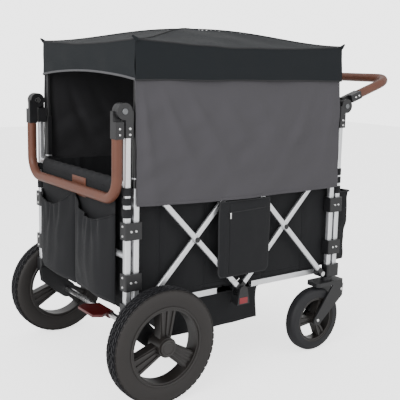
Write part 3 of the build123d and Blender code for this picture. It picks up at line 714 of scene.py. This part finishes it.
def wallPoint(side):
    def place(across, up):
        x = middleX + tub["halfLong"] * across
        height = tub["low"] + (tub["top"] - tub["low"]) * (up + 1) / 2
        pull = crease(x, side, height, 0.06, 0.0022) + crease(x * 2, side, height * 0.5, 0.05, 0.0018)
        for start in (-0.72, -0.31, 0.28, 0.71):
            pull -= 0.003 * wave(across, start, 0.02)
        return Vector((x, side * (tub["outer"] - 0.0045 + pull), height))
    return place


walls = []
wallLines = []
for side in (-1, 1):
    wall = clothSheet("wall", 110, 44, wallPoint(side))
    tidyNormals(wall)
    applied(wall, "SOLIDIFY", thickness=tub["thick"], offset=0)
    walls.append(wall)
    for level in (-0.94, 0.985):
        wallLines.append([wallPoint(side)(u, level) + Vector((0, side * 0.0012, 0)) for u in steps(70)])
    for start in (-0.72, -0.31, 0.28, 0.71):
        wallLines.append([wallPoint(side)(start, v) + Vector((0, side * 0.0014, 0)) for v in steps(30)])
wall = joined("tubWalls", walls)
smooth(wall, 60)
dress(wall, finishes["tub_cloth"], "rear_frame", ("tub_sides",))
wallSeams = tubeAlong("tubWallSeams", wallLines, 0.0014)
dress(wallSeams, finishes["tub_cloth"], "rear_frame")
for piece in (wall, wallSeams):
    foldsAway(piece)

# end panels, from the foot on the floor up to the top tube and over it
endCloth = {"halfWide": 0.225, "footReach": 0.025, "low": 0.2435, "offPost": 0.0108, "overRadius": 0.0096}


def endPanelPoint(end, postX):
    def place(across, up):
        y = endCloth["halfWide"] * across
        inner = postX - end * endCloth["offPost"]
        run = (up + 1) / 2 * (endCloth["footReach"] + 0.302)
        if run < endCloth["footReach"]:
            return Vector((inner - end * (endCloth["footReach"] - run), y, endCloth["low"]))
        height = endCloth["low"] + run - endCloth["footReach"]
        pull = crease(end * 3, y, height, 0.06, 0.002) * min(1, (height - endCloth["low"]) / 0.03)
        return Vector((inner - end * (0.0004 + abs(pull)), y, height))
    return place


for end, postX, which in ((-1, rearPostX, "rear"), (1, frontPostX, "front")):
    panel = clothSheet(which + "EndCloth", 70, 70, endPanelPoint(end, postX))
    tidyNormals(panel)
    applied(panel, "SOLIDIFY", thickness=0.0016, offset=0)
    smooth(panel, 60)
    dress(panel, finishes["tub_cloth"], which + "_frame", (which + "_end_panel",))

# cloth over each top tube, down the outside as the back of the pockets
backCloth = {"halfWide": 0.2115, "low": 0.239, "tubeHeight": 0.540, "inside": 0.028}


def backPoint(end, postX):
    radius = endCloth["overRadius"]
    rise = backCloth["tubeHeight"] - backCloth["low"]
    bend = math.pi * radius
    total = rise + bend + backCloth["inside"]

    def place(across, up):
        run = (up + 1) / 2 * total
        y = backCloth["halfWide"] * across
        if run < rise:
            height = backCloth["low"] + run
            slack = 0.0012 * min(1, (rise - run) / 0.05)
            stand = radius + 0.0004 + slack + crease(end, y, height, 0.05, 0.0012)
            return Vector((postX + end * stand, y, height))
        if run < rise + bend:
            turn = (run - rise) / radius
            ripple = 1 + 0.10 * math.sin(y * 160) * math.sin(turn)
            x = postX + end * radius * ripple * math.cos(turn)
            return Vector((x, y, backCloth["tubeHeight"] + radius * ripple * math.sin(turn)))
        return Vector((postX - end * radius, y, backCloth["tubeHeight"] - (run - rise - bend)))
    return place


for end, postX, which in ((-1, rearPostX, "rear"), (1, frontPostX, "front")):
    cover = clothSheet(which + "BackCloth", 90, 90, backPoint(end, postX))
    tidyNormals(cover)
    applied(cover, "SOLIDIFY", thickness=0.0014, offset=0)
    smooth(cover, 60)
    dress(cover, finishes["tub_cloth"], which + "_frame")
    overTube = backCloth["inside"] + math.pi * endCloth["overRadius"]
    hemLevel = 1 - 2 * (overTube + 0.012) / (0.301 + overTube)
    seamLine = [backPoint(end, postX)(u, hemLevel) + Vector((end * 0.0012, 0, 0)) for u in steps(60)]
    seam = tubeAlong(which + "TopSeam", stitchRuns(seamLine), 0.0006, sides=1)
    dress(seam, darkThread, which + "_frame")

# rear pouches with gathered rims
pouch = {
    "low": 0.237, "rim": 0.447, "rimDip": 0.026, "middleRise": 0.034, "deep": 0.030, "gather": 0.0026,
    "back": 0.0112
}


def pouchPoint(inner, outer, phase):
    def place(across, up):
        y = (inner + outer) / 2 + (outer - inner) / 2 * across
        toMiddle = (1 - across) / 2
        rim = pouch["rim"] + pouch["rimDip"] * (across ** 2 - 0.4) + pouch["middleRise"] * toMiddle ** 5
        share = (up + 1) / 2
        height = pouch["low"] + (rim - pouch["low"]) * share
        fullness = (1 - abs(across) ** 3.2) ** 0.62
        profile = min(1, (share / 0.10) ** 0.55) * (1 - 0.30 * max(0, (share - 0.55) / 0.45) ** 1.5)
        bulge = pouch["deep"] * fullness * profile * (0.82 + 0.10 * math.sin(across * 3 + phase))
        tuck = wave(share, 0.93, 0.16)
        bulge += pouch["gather"] * fullness * tuck * math.sin(across * 21 + phase + 1.2 * math.sin(across * 5))
        for start, lean in ((-0.55, 0.22), (-0.1, 0.3), (0.35, 0.24), (0.66, 0.1)):
            bulge += 0.0055 * fullness * wave(across, start + lean * (1 - share), 0.13) * share
        bulge += crease(phase, y, height, 0.07, 0.005) * fullness
        return Vector((rearPostX - pouch["back"] - max(0.0006, bulge), y, height))
    return place


pouches = []
rims = []
for inner, outer, phase in ((-0.003, -0.211, 0.4), (0.003, 0.211, 1.9)):
    shape = pouchPoint(inner, outer, phase)
    shell = clothSheet("pouch", 110, 70, shape)
    tidyNormals(shell)
    applied(shell, "SOLIDIFY", thickness=0.0014, offset=0)
    pouches.append(shell)
    rims.append([shape(u, 1) + Vector((0, 0, 0.0005)) for u in steps(110)])
pocket = joined("rearPouches", pouches)
smooth(pocket, 70)
dress(pocket, finishes["tub_cloth"], "rear_frame", ("rear_pockets",))
rim = tubeAlong("rearPouchRims", rims, 0.0022)
dress(rim, finishes["tub_cloth"], "rear_frame")

# leather patch on the rear cover, with nothing written on it
patch = {"middle": (-0.021, 0.5058), "size": (0.078, 0.0505), "out": 0.0126}
deselect()
bpy.ops.mesh.primitive_cube_add(
    size=1, location=(rearPostX - patch["out"], patch["middle"][0], patch["middle"][1])
)
tag = named("leatherPatch")
tag.scale = (0.0018, patch["size"][0], patch["size"][1])
settle(tag)
applied(tag, "BEVEL", width=0.0007, segments=2)
pick(tag)
bpy.ops.object.mode_set(mode="EDIT")
bpy.ops.mesh.select_all(action="SELECT")
bpy.ops.mesh.subdivide(number_cuts=3)
bpy.ops.object.mode_set(mode="OBJECT")
smooth(tag, 40)
dress(tag, finishes["grip_leather"], "rear_frame")
edgeY, edgeZ = patch["size"][0] / 2 - 0.004, patch["size"][1] / 2 - 0.004
tagCorners = [(a * edgeY, b * edgeZ) for a, b in ((-1, -1), (1, -1), (1, 1), (-1, 1), (-1, -1))]
tagLine = [
    Vector((rearPostX - patch["out"] - 0.0009, patch["middle"][0] + a, patch["middle"][1] + b)) for a,
    b in tagCorners
]
tagStitch = tubeAlong("patchStitches", stitchRuns(tagLine, 0.005, 0.003), 0.0004, sides=1)
dress(tagStitch, tanThread, "rear_frame")
print("rear cloth made")

# front bag: an open shell hung on the front frame
bag = {"halfWide": 0.2175, "low": 0.2455, "top": 0.455, "back": 0.0112, "deepTop": 0.0825, "deepLow": 0.070}


def shapeFrontBag():
    deselect()
    bpy.ops.mesh.primitive_cube_add(size=2)
    shell = named("frontBag")
    chooseFaces(shell, lambda face: face.normal.z > 0.5 or face.normal.x < -0.5)
    bpy.ops.mesh.delete(type="FACE")
    bpy.ops.mesh.select_all(action="SELECT")
    bpy.ops.mesh.subdivide(number_cuts=30)
    bpy.ops.object.mode_set(mode="OBJECT")
    for point in shell.data.vertices:
        out, across, up = point.co
        share = (up + 1) / 2
        deep = bag["deepLow"] + (bag["deepTop"] - bag["deepLow"]) * share
        corner = max(0, abs(across) - 0.93) / 0.07
        far = (out + 1) / 2
        drawnIn = far * corner ** 3 * 0.10
        belly = 0.005 * far * math.sin(math.pi * share) * (1 - across ** 2)
        x = frontPostX + bag["back"] + deep * (far - drawnIn) + belly
        y = bag["halfWide"] * across * (1 - 0.02 * far * (1 - share))
        z = bag["low"] + (bag["top"] - bag["low"]) * share
        if share > 0.99:
            z += -0.006 * (1 - across ** 2) * far + crease(5, y, x, 0.05, 0.004)
        ripple = crease(x, y, z, 0.035, 0.005)
        tier = 0.003 * far * math.sin(z * 55)
        side = abs(across) > 0.97
        point.co = Vector((x + (0 if side else ripple * far) + tier, y + (ripple if side else 0), z))
    tidyNormals(shell)
    applied(shell, "SOLIDIFY", thickness=0.0016, offset=-1)
    applied(shell, "BEVEL", width=0.001, segments=1, limit_method="ANGLE", angle_limit=1.0)
    smooth(shell, 60)
    return shell


frontBag = shapeFrontBag()
dress(frontBag, finishes["tub_cloth"], "front_frame", ("front_bag",))
bagRim = []
for y in steps(40):
    cornerIn = 0.10 * (max(0, abs(y) - 0.93) / 0.07) ** 3
    rimX = frontPostX + bag["back"] + bag["deepTop"] * (1 - cornerIn) + 0.001
    bagRim.append(Vector((rimX, bag["halfWide"] * y, bag["top"] - 0.006 * (1 - y * y))))
rimEnds = [Vector((frontPostX + bag["back"], side * bag["halfWide"], bag["top"])) for side in (-1, 1)]
bagRim = [rimEnds[0], *bagRim, rimEnds[1]]
bagHem = tubeAlong("frontBagHem", [bagRim], 0.0026)
dress(bagHem, finishes["tub_cloth"], "front_frame")

# flat zipped pocket on the right-hand side
zipPocket = {"half": 0.086, "low": 0.272, "top": 0.476, "back": 0.2594, "thick": 0.0062, "corner": 0.16}


def pocketPoint(across, up):
    # lower corners drawn in, front face crowned
    cut = max(0, (-up - 1 + zipPocket["corner"]) / zipPocket["corner"])
    half = zipPocket["half"] * (1 - 0.13 * cut ** 1.8) * (1 + 0.012 * math.sin(up * 4))
    x = middleX + half * across
    z = zipPocket["low"] + (zipPocket["top"] - zipPocket["low"]) * (up + 1) / 2
    crown = (1 - abs(across) ** 5) ** 0.5 * (1 - abs(up) ** 7) ** 0.5
    relief = zipPocket["thick"] * crown * (0.78 + 0.12 * math.cos(across * 2.2))
    relief += crown * (crease(x, 7, z, 0.035, 0.0022) + 0.0012 * wave(across, -0.78 + 0.05 * up, 0.05))
    relief -= crown * 0.0022 * wave(across, -0.62, 0.018)
    return Vector((x, -(zipPocket["back"] + max(0.0003, relief)), z))


pocketFront = clothSheet("sidePocket", 80, 90, pocketPoint)
tidyNormals(pocketFront)
applied(pocketFront, "SOLIDIFY", thickness=0.0012, offset=1)
smooth(pocketFront, 60)
dress(pocketFront, finishes["tub_cloth"], "centre", ("side_pocket",))
outline = [
    pocketPoint(u * 0.985, -0.985)
    for u in steps(20)
] + [pocketPoint(0.985, v) for v in steps(24)[1:-1]]
outline += [
    pocketPoint(-u * 0.985, 0.985)
    for u in steps(20)
] + [pocketPoint(-0.985, -v) for v in steps(24)[1:-1]]
pocketPiping = tubeAlong("pocketPiping", [outline], 0.0021, closed=True)
zipPath = [pocketPoint(u, 0.72 + 0.03 * u) + Vector((0, -0.0012, 0)) for u in steps(20)[3:18]]
zipDrop = [pocketPoint(-0.62, v) + Vector((0, -0.001, 0)) for v in steps(24)[2:20]]
pocketZip = tubeAlong("pocketZip", [zipPath], 0.0016)
zipSeam = tubeAlong("pocketSeam", stitchRuns(zipDrop), 0.0005, sides=1)
pocketTrim = joined("pocketTrim", [pocketPiping, pocketZip, zipSeam])
dress(pocketTrim, darkThread, "centre")
deselect()
bpy.ops.mesh.primitive_cube_add(size=1, location=pocketPoint(-0.6, 0.70) + Vector((0, -0.003, -0.008)))
puller = named("zipPuller")
puller.scale = (0.005, 0.0016, 0.016)
settle(puller)
applied(puller, "BEVEL", width=0.0007, segments=2)
smooth(puller)
dress(puller, finishes["rivet_steel"], "centre")

loopDrop = [
    Vector((middleX + 0.016 * math.cos(a) - 0.03, -0.2612, 0.2640 - 0.007 * math.sin(a)))
    for a in [math.pi * i / 14 for i in range(15)]
]
elastic = tubeAlong("pocketElastic", [loopDrop], 0.0013)
dress(elastic, whiteCord, "centre")

# basket below the floor
basket = {"wall": 0.0016, "sag": 0.004}


def shapeBasket():
    low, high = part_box("under_basket")
    deselect()
    bpy.ops.mesh.primitive_cube_add(size=2)
    shell = named("underBasket")
    chooseFaces(shell, lambda face: face.normal.z > 0.5)
    bpy.ops.mesh.delete(type="FACE")
    bpy.ops.mesh.select_all(action="SELECT")
    bpy.ops.mesh.subdivide(number_cuts=26)
    bpy.ops.object.mode_set(mode="OBJECT")
    centre, half = (low + high) / 2, (high - low) / 2
    for point in shell.data.vertices:
        u, v, w = point.co
        squeeze = 1 - 0.018 * math.sin(math.pi * (w + 1) / 2)
        x = centre.x + half.x * u * squeeze
        y = centre.y + half.y * v * squeeze
        z = centre.z + half.z * w
        if w < -0.99:
            z += basket["sag"] * (u * u + v * v) * 0.5 - basket["sag"] * 0.5
        ripple = crease(x, y, z, 0.05, 0.004)
        if abs(u) > 0.99:
            x -= ripple if u > 0 else -ripple
        elif abs(v) > 0.99:
            y -= ripple if v > 0 else -ripple
        point.co = Vector((x, y, z))
    tidyNormals(shell)
    applied(shell, "SOLIDIFY", thickness=basket["wall"], offset=-1)
    applied(shell, "BEVEL", width=0.003, segments=2, limit_method="ANGLE", angle_limit=1.0)
    smooth(shell, 60)
    rimLine = [
        Vector((centre.x + half.x * u, centre.y + half.y * v, high.z - 0.002)) for u,
        v in ((-1, -1), (1, -1), (1, 1), (-1, 1))
    ]
    return shell, tubeAlong("basketHem", [rimLine], 0.0022, closed=True)


underBasket, basketHem = shapeBasket()
dress(underBasket, finishes["tub_cloth"], "rear_frame", ("under_basket",))
dress(basketHem, finishes["tub_cloth"], "rear_frame")
for piece in (underBasket, basketHem):
    foldsAway(piece)
print("bags and basket made")

# webbing loops on the outer posts
webbing = {
    "bands": ((0.472, 0.021), (0.5005, 0.017), (0.5245, 0.019)), "radius": postHalf + 0.0026,
    "thick": 0.0014
}
for end, postX, which in ((-1, rearPostX, "rear"), (1, frontPostX, "front")):
    loops = []
    for side in (-1, 1):
        for level, tall in webbing["bands"]:
            deselect()
            bpy.ops.mesh.primitive_cylinder_add(
                vertices=36, radius=webbing["radius"], depth=tall, end_fill_type="NOTHING",
                location=(postX, side * postY, level)
            )
            loop = named("loop")
            settle(loop)
            applied(loop, "SOLIDIFY", thickness=webbing["thick"], offset=0)
            loops.append(loop)
            # the strap's tail runs back to the tub's corner
            deselect()
            bpy.ops.mesh.primitive_cube_add(
                size=1, location=(postX - end * 0.002, side * (postY - 0.0175), level)
            )
            tail = named("tail")
            tail.scale = (0.004, 0.022, tall)
            settle(tail)
            applied(tail, "BEVEL", width=0.0012, segments=2)
            loops.append(tail)
    straps = joined(which + "PostStraps", loops)
    smooth(straps, 50)
    dress(straps, finishes["tub_cloth"], which + "_frame")

# handle trim: stitched seam under each grip
grip = {"seam": 0.0011, "stitch": 0.0006, "offset": 0.0135, "inward": -0.0130}


def gripLine(which, shift):
    # centre line of the grip, from one leg round to the other
    low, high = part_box(which + "_handle_grip")
    buttonLow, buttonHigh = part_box(which + "_button_right")
    pivotX, pivotZ = (buttonLow.x + buttonHigh.x) / 2, (buttonLow.z + buttonHigh.z) / 2
    end = -1 if which == "rear" else 1
    lift = math.radians(0 if which == "rear" else 108.5)
    out = Vector((end * math.cos(lift), 0, math.sin(lift)))
    down = Vector((end * math.sin(lift), 0, -math.cos(lift)))
    leg = high.y - 0.0128
    bend = 0.055
    path = [(leg, 0.064), (leg, 0.211 - bend)]
    path += [
        (leg - bend + bend * math.cos(a), 0.211 - bend + bend * math.sin(a))
        for a in [math.pi / 2 * i / 12 for i in range(1, 12)]
    ]
    path += [(leg - bend, 0.211)]
    path += [(-y, d) for y, d in reversed(path)]
    origin = Vector((pivotX, 0, pivotZ)) + out * grip["offset"]
    return [origin + down * (d) + Vector((0, y, 0)) + out * shift for y, d in path]


for which in ("rear", "front"):
    inward = grip["inward"]
    seam = tubeAlong(which + "GripSeam", [gripLine(which, inward)], grip["seam"])
    stitch = tubeAlong(
        "stitch", stitchRuns(gripLine(which, inward - 0.0006), 0.005, 0.0032), grip["stitch"], sides=1
    )
    seam = joined(which + "GripSeam", [seam, stitch])
    dress(seam, tanThread, which + "_handle")
print("straps and grips made")

# rear tyres with blocky tread
tyre = {
    "outer": 0.1455, "seat": 0.100, "halfWide": 0.025, "blocks": 48, "groove": 0.0016, "blockTall": 0.0032
}


def shapeTyre(name, node):
    low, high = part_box(node)
    hub = (low + high) / 2
    base = tyre["outer"] - tyre["blockTall"]
    w = tyre["halfWide"]
    half = [
        (tyre["seat"], 0.84 * w), (0.107, 0.93 * w), (0.118, w), (0.131, 0.97 * w),
        (base - 0.003, 0.84 * w), (base - 0.0008, 0.72 * w), (base, 0.44 * w), (base + 0.0002, 0.15 * w)
    ]
    outline = half + [(r, -y) for r, y in reversed(half)]
    deselect()
    bpy.ops.mesh.primitive_circle_add(vertices=len(outline), radius=0.01)
    ring = named(name)
    for point, (radius, y) in zip(ring.data.vertices, outline):
        point.co = Vector((hub.x + radius, hub.y + y, hub.z))
    bpy.ops.object.origin_set(type="ORIGIN_CURSOR")
    ring.location = (0, 0, 0)
    pick(ring)
    bpy.ops.object.mode_set(mode="EDIT")
    bpy.ops.mesh.select_all(action="SELECT")
    bpy.ops.mesh.spin(steps=tyre["blocks"], angle=math.tau, center=hub, axis=(0, 1, 0))
    bpy.ops.object.mode_set(mode="OBJECT")
    tidyNormals(ring)
    # every other row of points moves half a block round, for slanted blocks
    turn = math.tau / tyre["blocks"] / 2
    for point in ring.data.vertices:
        arm = point.co - hub
        radius = math.hypot(arm.x, arm.z)
        if radius > base - 0.004:
            slant = turn * (1 if abs(arm.y) > 0.5 * w else -1) * (1 if arm.y > 0 else -1)
            point.co = hub + Matrix.Rotation(slant, 3, "Y") @ arm
    chooseFaces(ring, lambda face: math.hypot(face.center.x - hub.x, face.center.z - hub.z) > base - 0.0025)
    bpy.ops.mesh.inset(thickness=tyre["groove"], depth=0, use_individual=True)
    bpy.ops.mesh.extrude_faces_move(TRANSFORM_OT_shrink_fatten={"value": tyre["blockTall"]})
    bpy.ops.object.mode_set(mode="OBJECT")
    smooth(ring, 35)
    return ring


for hand in ("right", "left"):
    ring = shapeTyre("rearTread" + hand.capitalize(), "rear_tyre_" + hand)
    dress(ring, finishes["tyre_rubber"], "rear_wheel_" + hand, ("rear_tyre_" + hand,))
    ring.data.materials.append(treadRubber)
    low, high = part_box("rear_tyre_" + hand)
    hub = (low + high) / 2
    for face in ring.data.polygons:
        face.material_index = 1 if math.hypot(
            face.center.x - hub.x, face.center.z - hub.z
        ) > tyre["outer"] - tyre["blockTall"] - 0.001 else 0
    nodes["caster_tyre_" + hand].data.materials[0] = treadRubber
print("tyres made")

# wheel trim: lips, ribs on the spokes, stepped hub caps
trim = {"lip": 0.0028, "ribTall": 0.0035, "ribWide": 0.005, "ribSpread": 0.0125, "capRear": 0.021}


def hubCap(place, radius, side):
    deselect()
    bpy.ops.mesh.primitive_cylinder_add(
        vertices=40, radius=radius, depth=0.006, location=place, rotation=(math.pi / 2, 0, 0)
    )
    cap = named("cap")
    settle(cap)
    for inset, depth in ((0.16, 0.0014), (0.10, -0.0020), (0.12, 0.0018), (0.28, -0.0008)):
        chooseFaces(cap, lambda face: face.normal.y * side > 0.9 and len(face.vertices) > 8)
        bpy.ops.mesh.inset(thickness=radius * inset, depth=depth)
        bpy.ops.object.mode_set(mode="OBJECT")
    applied(cap, "BEVEL", width=0.0005, segments=2, limit_method="ANGLE", angle_limit=0.6)
    return cap


def wheelTrim(name, rim, spokeFrom, spokeTo, firstSpoke, ribs, capRadius, lipRadius, faceHalf):
    low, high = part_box(rim)
    hub = (low + high) / 2
    parts = []
    for side in (-1, 1):
        face = hub.y + side * faceHalf
        for turn in (firstSpoke, firstSpoke + 120, firstSpoke + 240):
            for shift in ribs:
                deselect()
                bpy.ops.mesh.primitive_cube_add(size=1, location=((spokeFrom + spokeTo) / 2, 0, shift))
                rib = named("rib")
                rib.scale = (spokeTo - spokeFrom, trim["ribTall"] * 2, trim["ribWide"])
                settle(rib)
                for point in rib.data.vertices:
                    point.co.z *= 0.8 if point.co.x < (spokeFrom + spokeTo) / 2 else 1.45
                applied(rib, "BEVEL", width=0.0013, segments=2)
                rib.rotation_euler = (0, -math.radians(turn), 0)
                rib.location = (hub.x, face, hub.z)
                settle(rib)
                parts.append(rib)
        outer = low.y if side < 0 else high.y
        deselect()
        bpy.ops.mesh.primitive_torus_add(
            major_radius=lipRadius, minor_radius=trim["lip"], major_segments=96, minor_segments=10,
            location=(hub.x, outer - side * 0.004, hub.z), rotation=(math.pi / 2, 0, 0)
        )
        lip = named("lip")
        settle(lip)
        parts.append(lip)
        if side * hub.y > 0:
            parts.append(hubCap((hub.x, outer + side * 0.002, hub.z), capRadius, side))
    whole = joined(name, parts)
    smooth(whole, 35)
    return whole


for hand in ("right", "left"):
    rearTrim = wheelTrim(
        "rearWheelTrim" + hand.capitalize(), "rear_rim_" + hand, 0.026, 0.092, 85,
        (-trim["ribSpread"], 0, trim["ribSpread"]), trim["capRear"], 0.0985, 0.0133
    )
    dress(rearTrim, finishes["rim_plastic"], "rear_wheel_" + hand)
    casterTrim = wheelTrim(
        "casterTrim" + hand.capitalize(), "caster_rim_" + hand, 0.016, 0.060, 60, (-0.006, 0.006), 0.010,
        0.0665, 0.0093
    )
    dress(casterTrim, finishes["rim_plastic"], "caster_wheel_" + hand)

# bolts on the caster forks
forkBolt = {"radius": 0.0048}
for side, hand in ((-1, "right"), (1, "left")):
    low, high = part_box("caster_fork_" + hand)
    rimLow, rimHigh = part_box("caster_rim_" + hand)
    hub = (rimLow + rimHigh) / 2
    spots = [(hub.x, hub.z), (high.x - 0.010, high.z - 0.055)]
    bolts = []
    for x, z in spots:
        for face in (low.y, high.y):
            deselect()
            bpy.ops.mesh.primitive_uv_sphere_add(
                segments=20, ring_count=10, radius=forkBolt["radius"], location=(x, face, z)
            )
            bolt = named("bolt")
            bolt.scale = (1, 0.5, 1)
            settle(bolt)
            bolts.append(bolt)
    bolts = joined("forkBolts" + hand.capitalize(), bolts)
    smooth(bolts, 60)
    dress(bolts, finishes["rivet_steel"], "caster_" + hand)

# plain red plate on each centre bracket
plate = {"size": (0.027, 0.0022, 0.0165), "height": 0.200}
plates = []
for side in (-1, 1):
    deselect()
    bpy.ops.mesh.primitive_cube_add(
        size=1, location=(middleX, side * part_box("centre_brackets")[1].y, plate["height"])
    )
    one = named("plate")
    one.scale = plate["size"]
    settle(one)
    applied(one, "BEVEL", width=0.0009, segments=3)
    plates.append(one)
redPlates = joined("redPlates", plates)
smooth(redPlates, 40)
dress(redPlates, insertRed, "centre")

# rivets of the handle sockets
for end, which in ((-1, "rear"), (1, "front")):
    buttonLow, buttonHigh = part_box(which + "_button_right")
    lift = math.radians(0 if which == "rear" else 108.5)
    out = Vector((end * math.cos(lift), 0, math.sin(lift)))
    down = Vector((end * math.sin(lift), 0, -math.cos(lift)))
    button = (buttonLow + buttonHigh) / 2
    pivot = Vector((button.x, 0, button.z)) + out * grip["offset"]
    heads = []
    for side in (-1, 1):
        for distance in (0.040, 0.054):
            deselect()
            bpy.ops.mesh.primitive_uv_sphere_add(
                segments=16, ring_count=8, radius=0.0032,
                location=pivot + down * distance + Vector((0, side * 0.2612, 0))
            )
            head = named("head")
            heads.append(head)
            settle(head)
    heads = joined(which + "SocketRivets", heads)
    smooth(heads, 60)
    dress(heads, finishes["rivet_steel"], which + "_handle")
print("wheel and frame trim made")
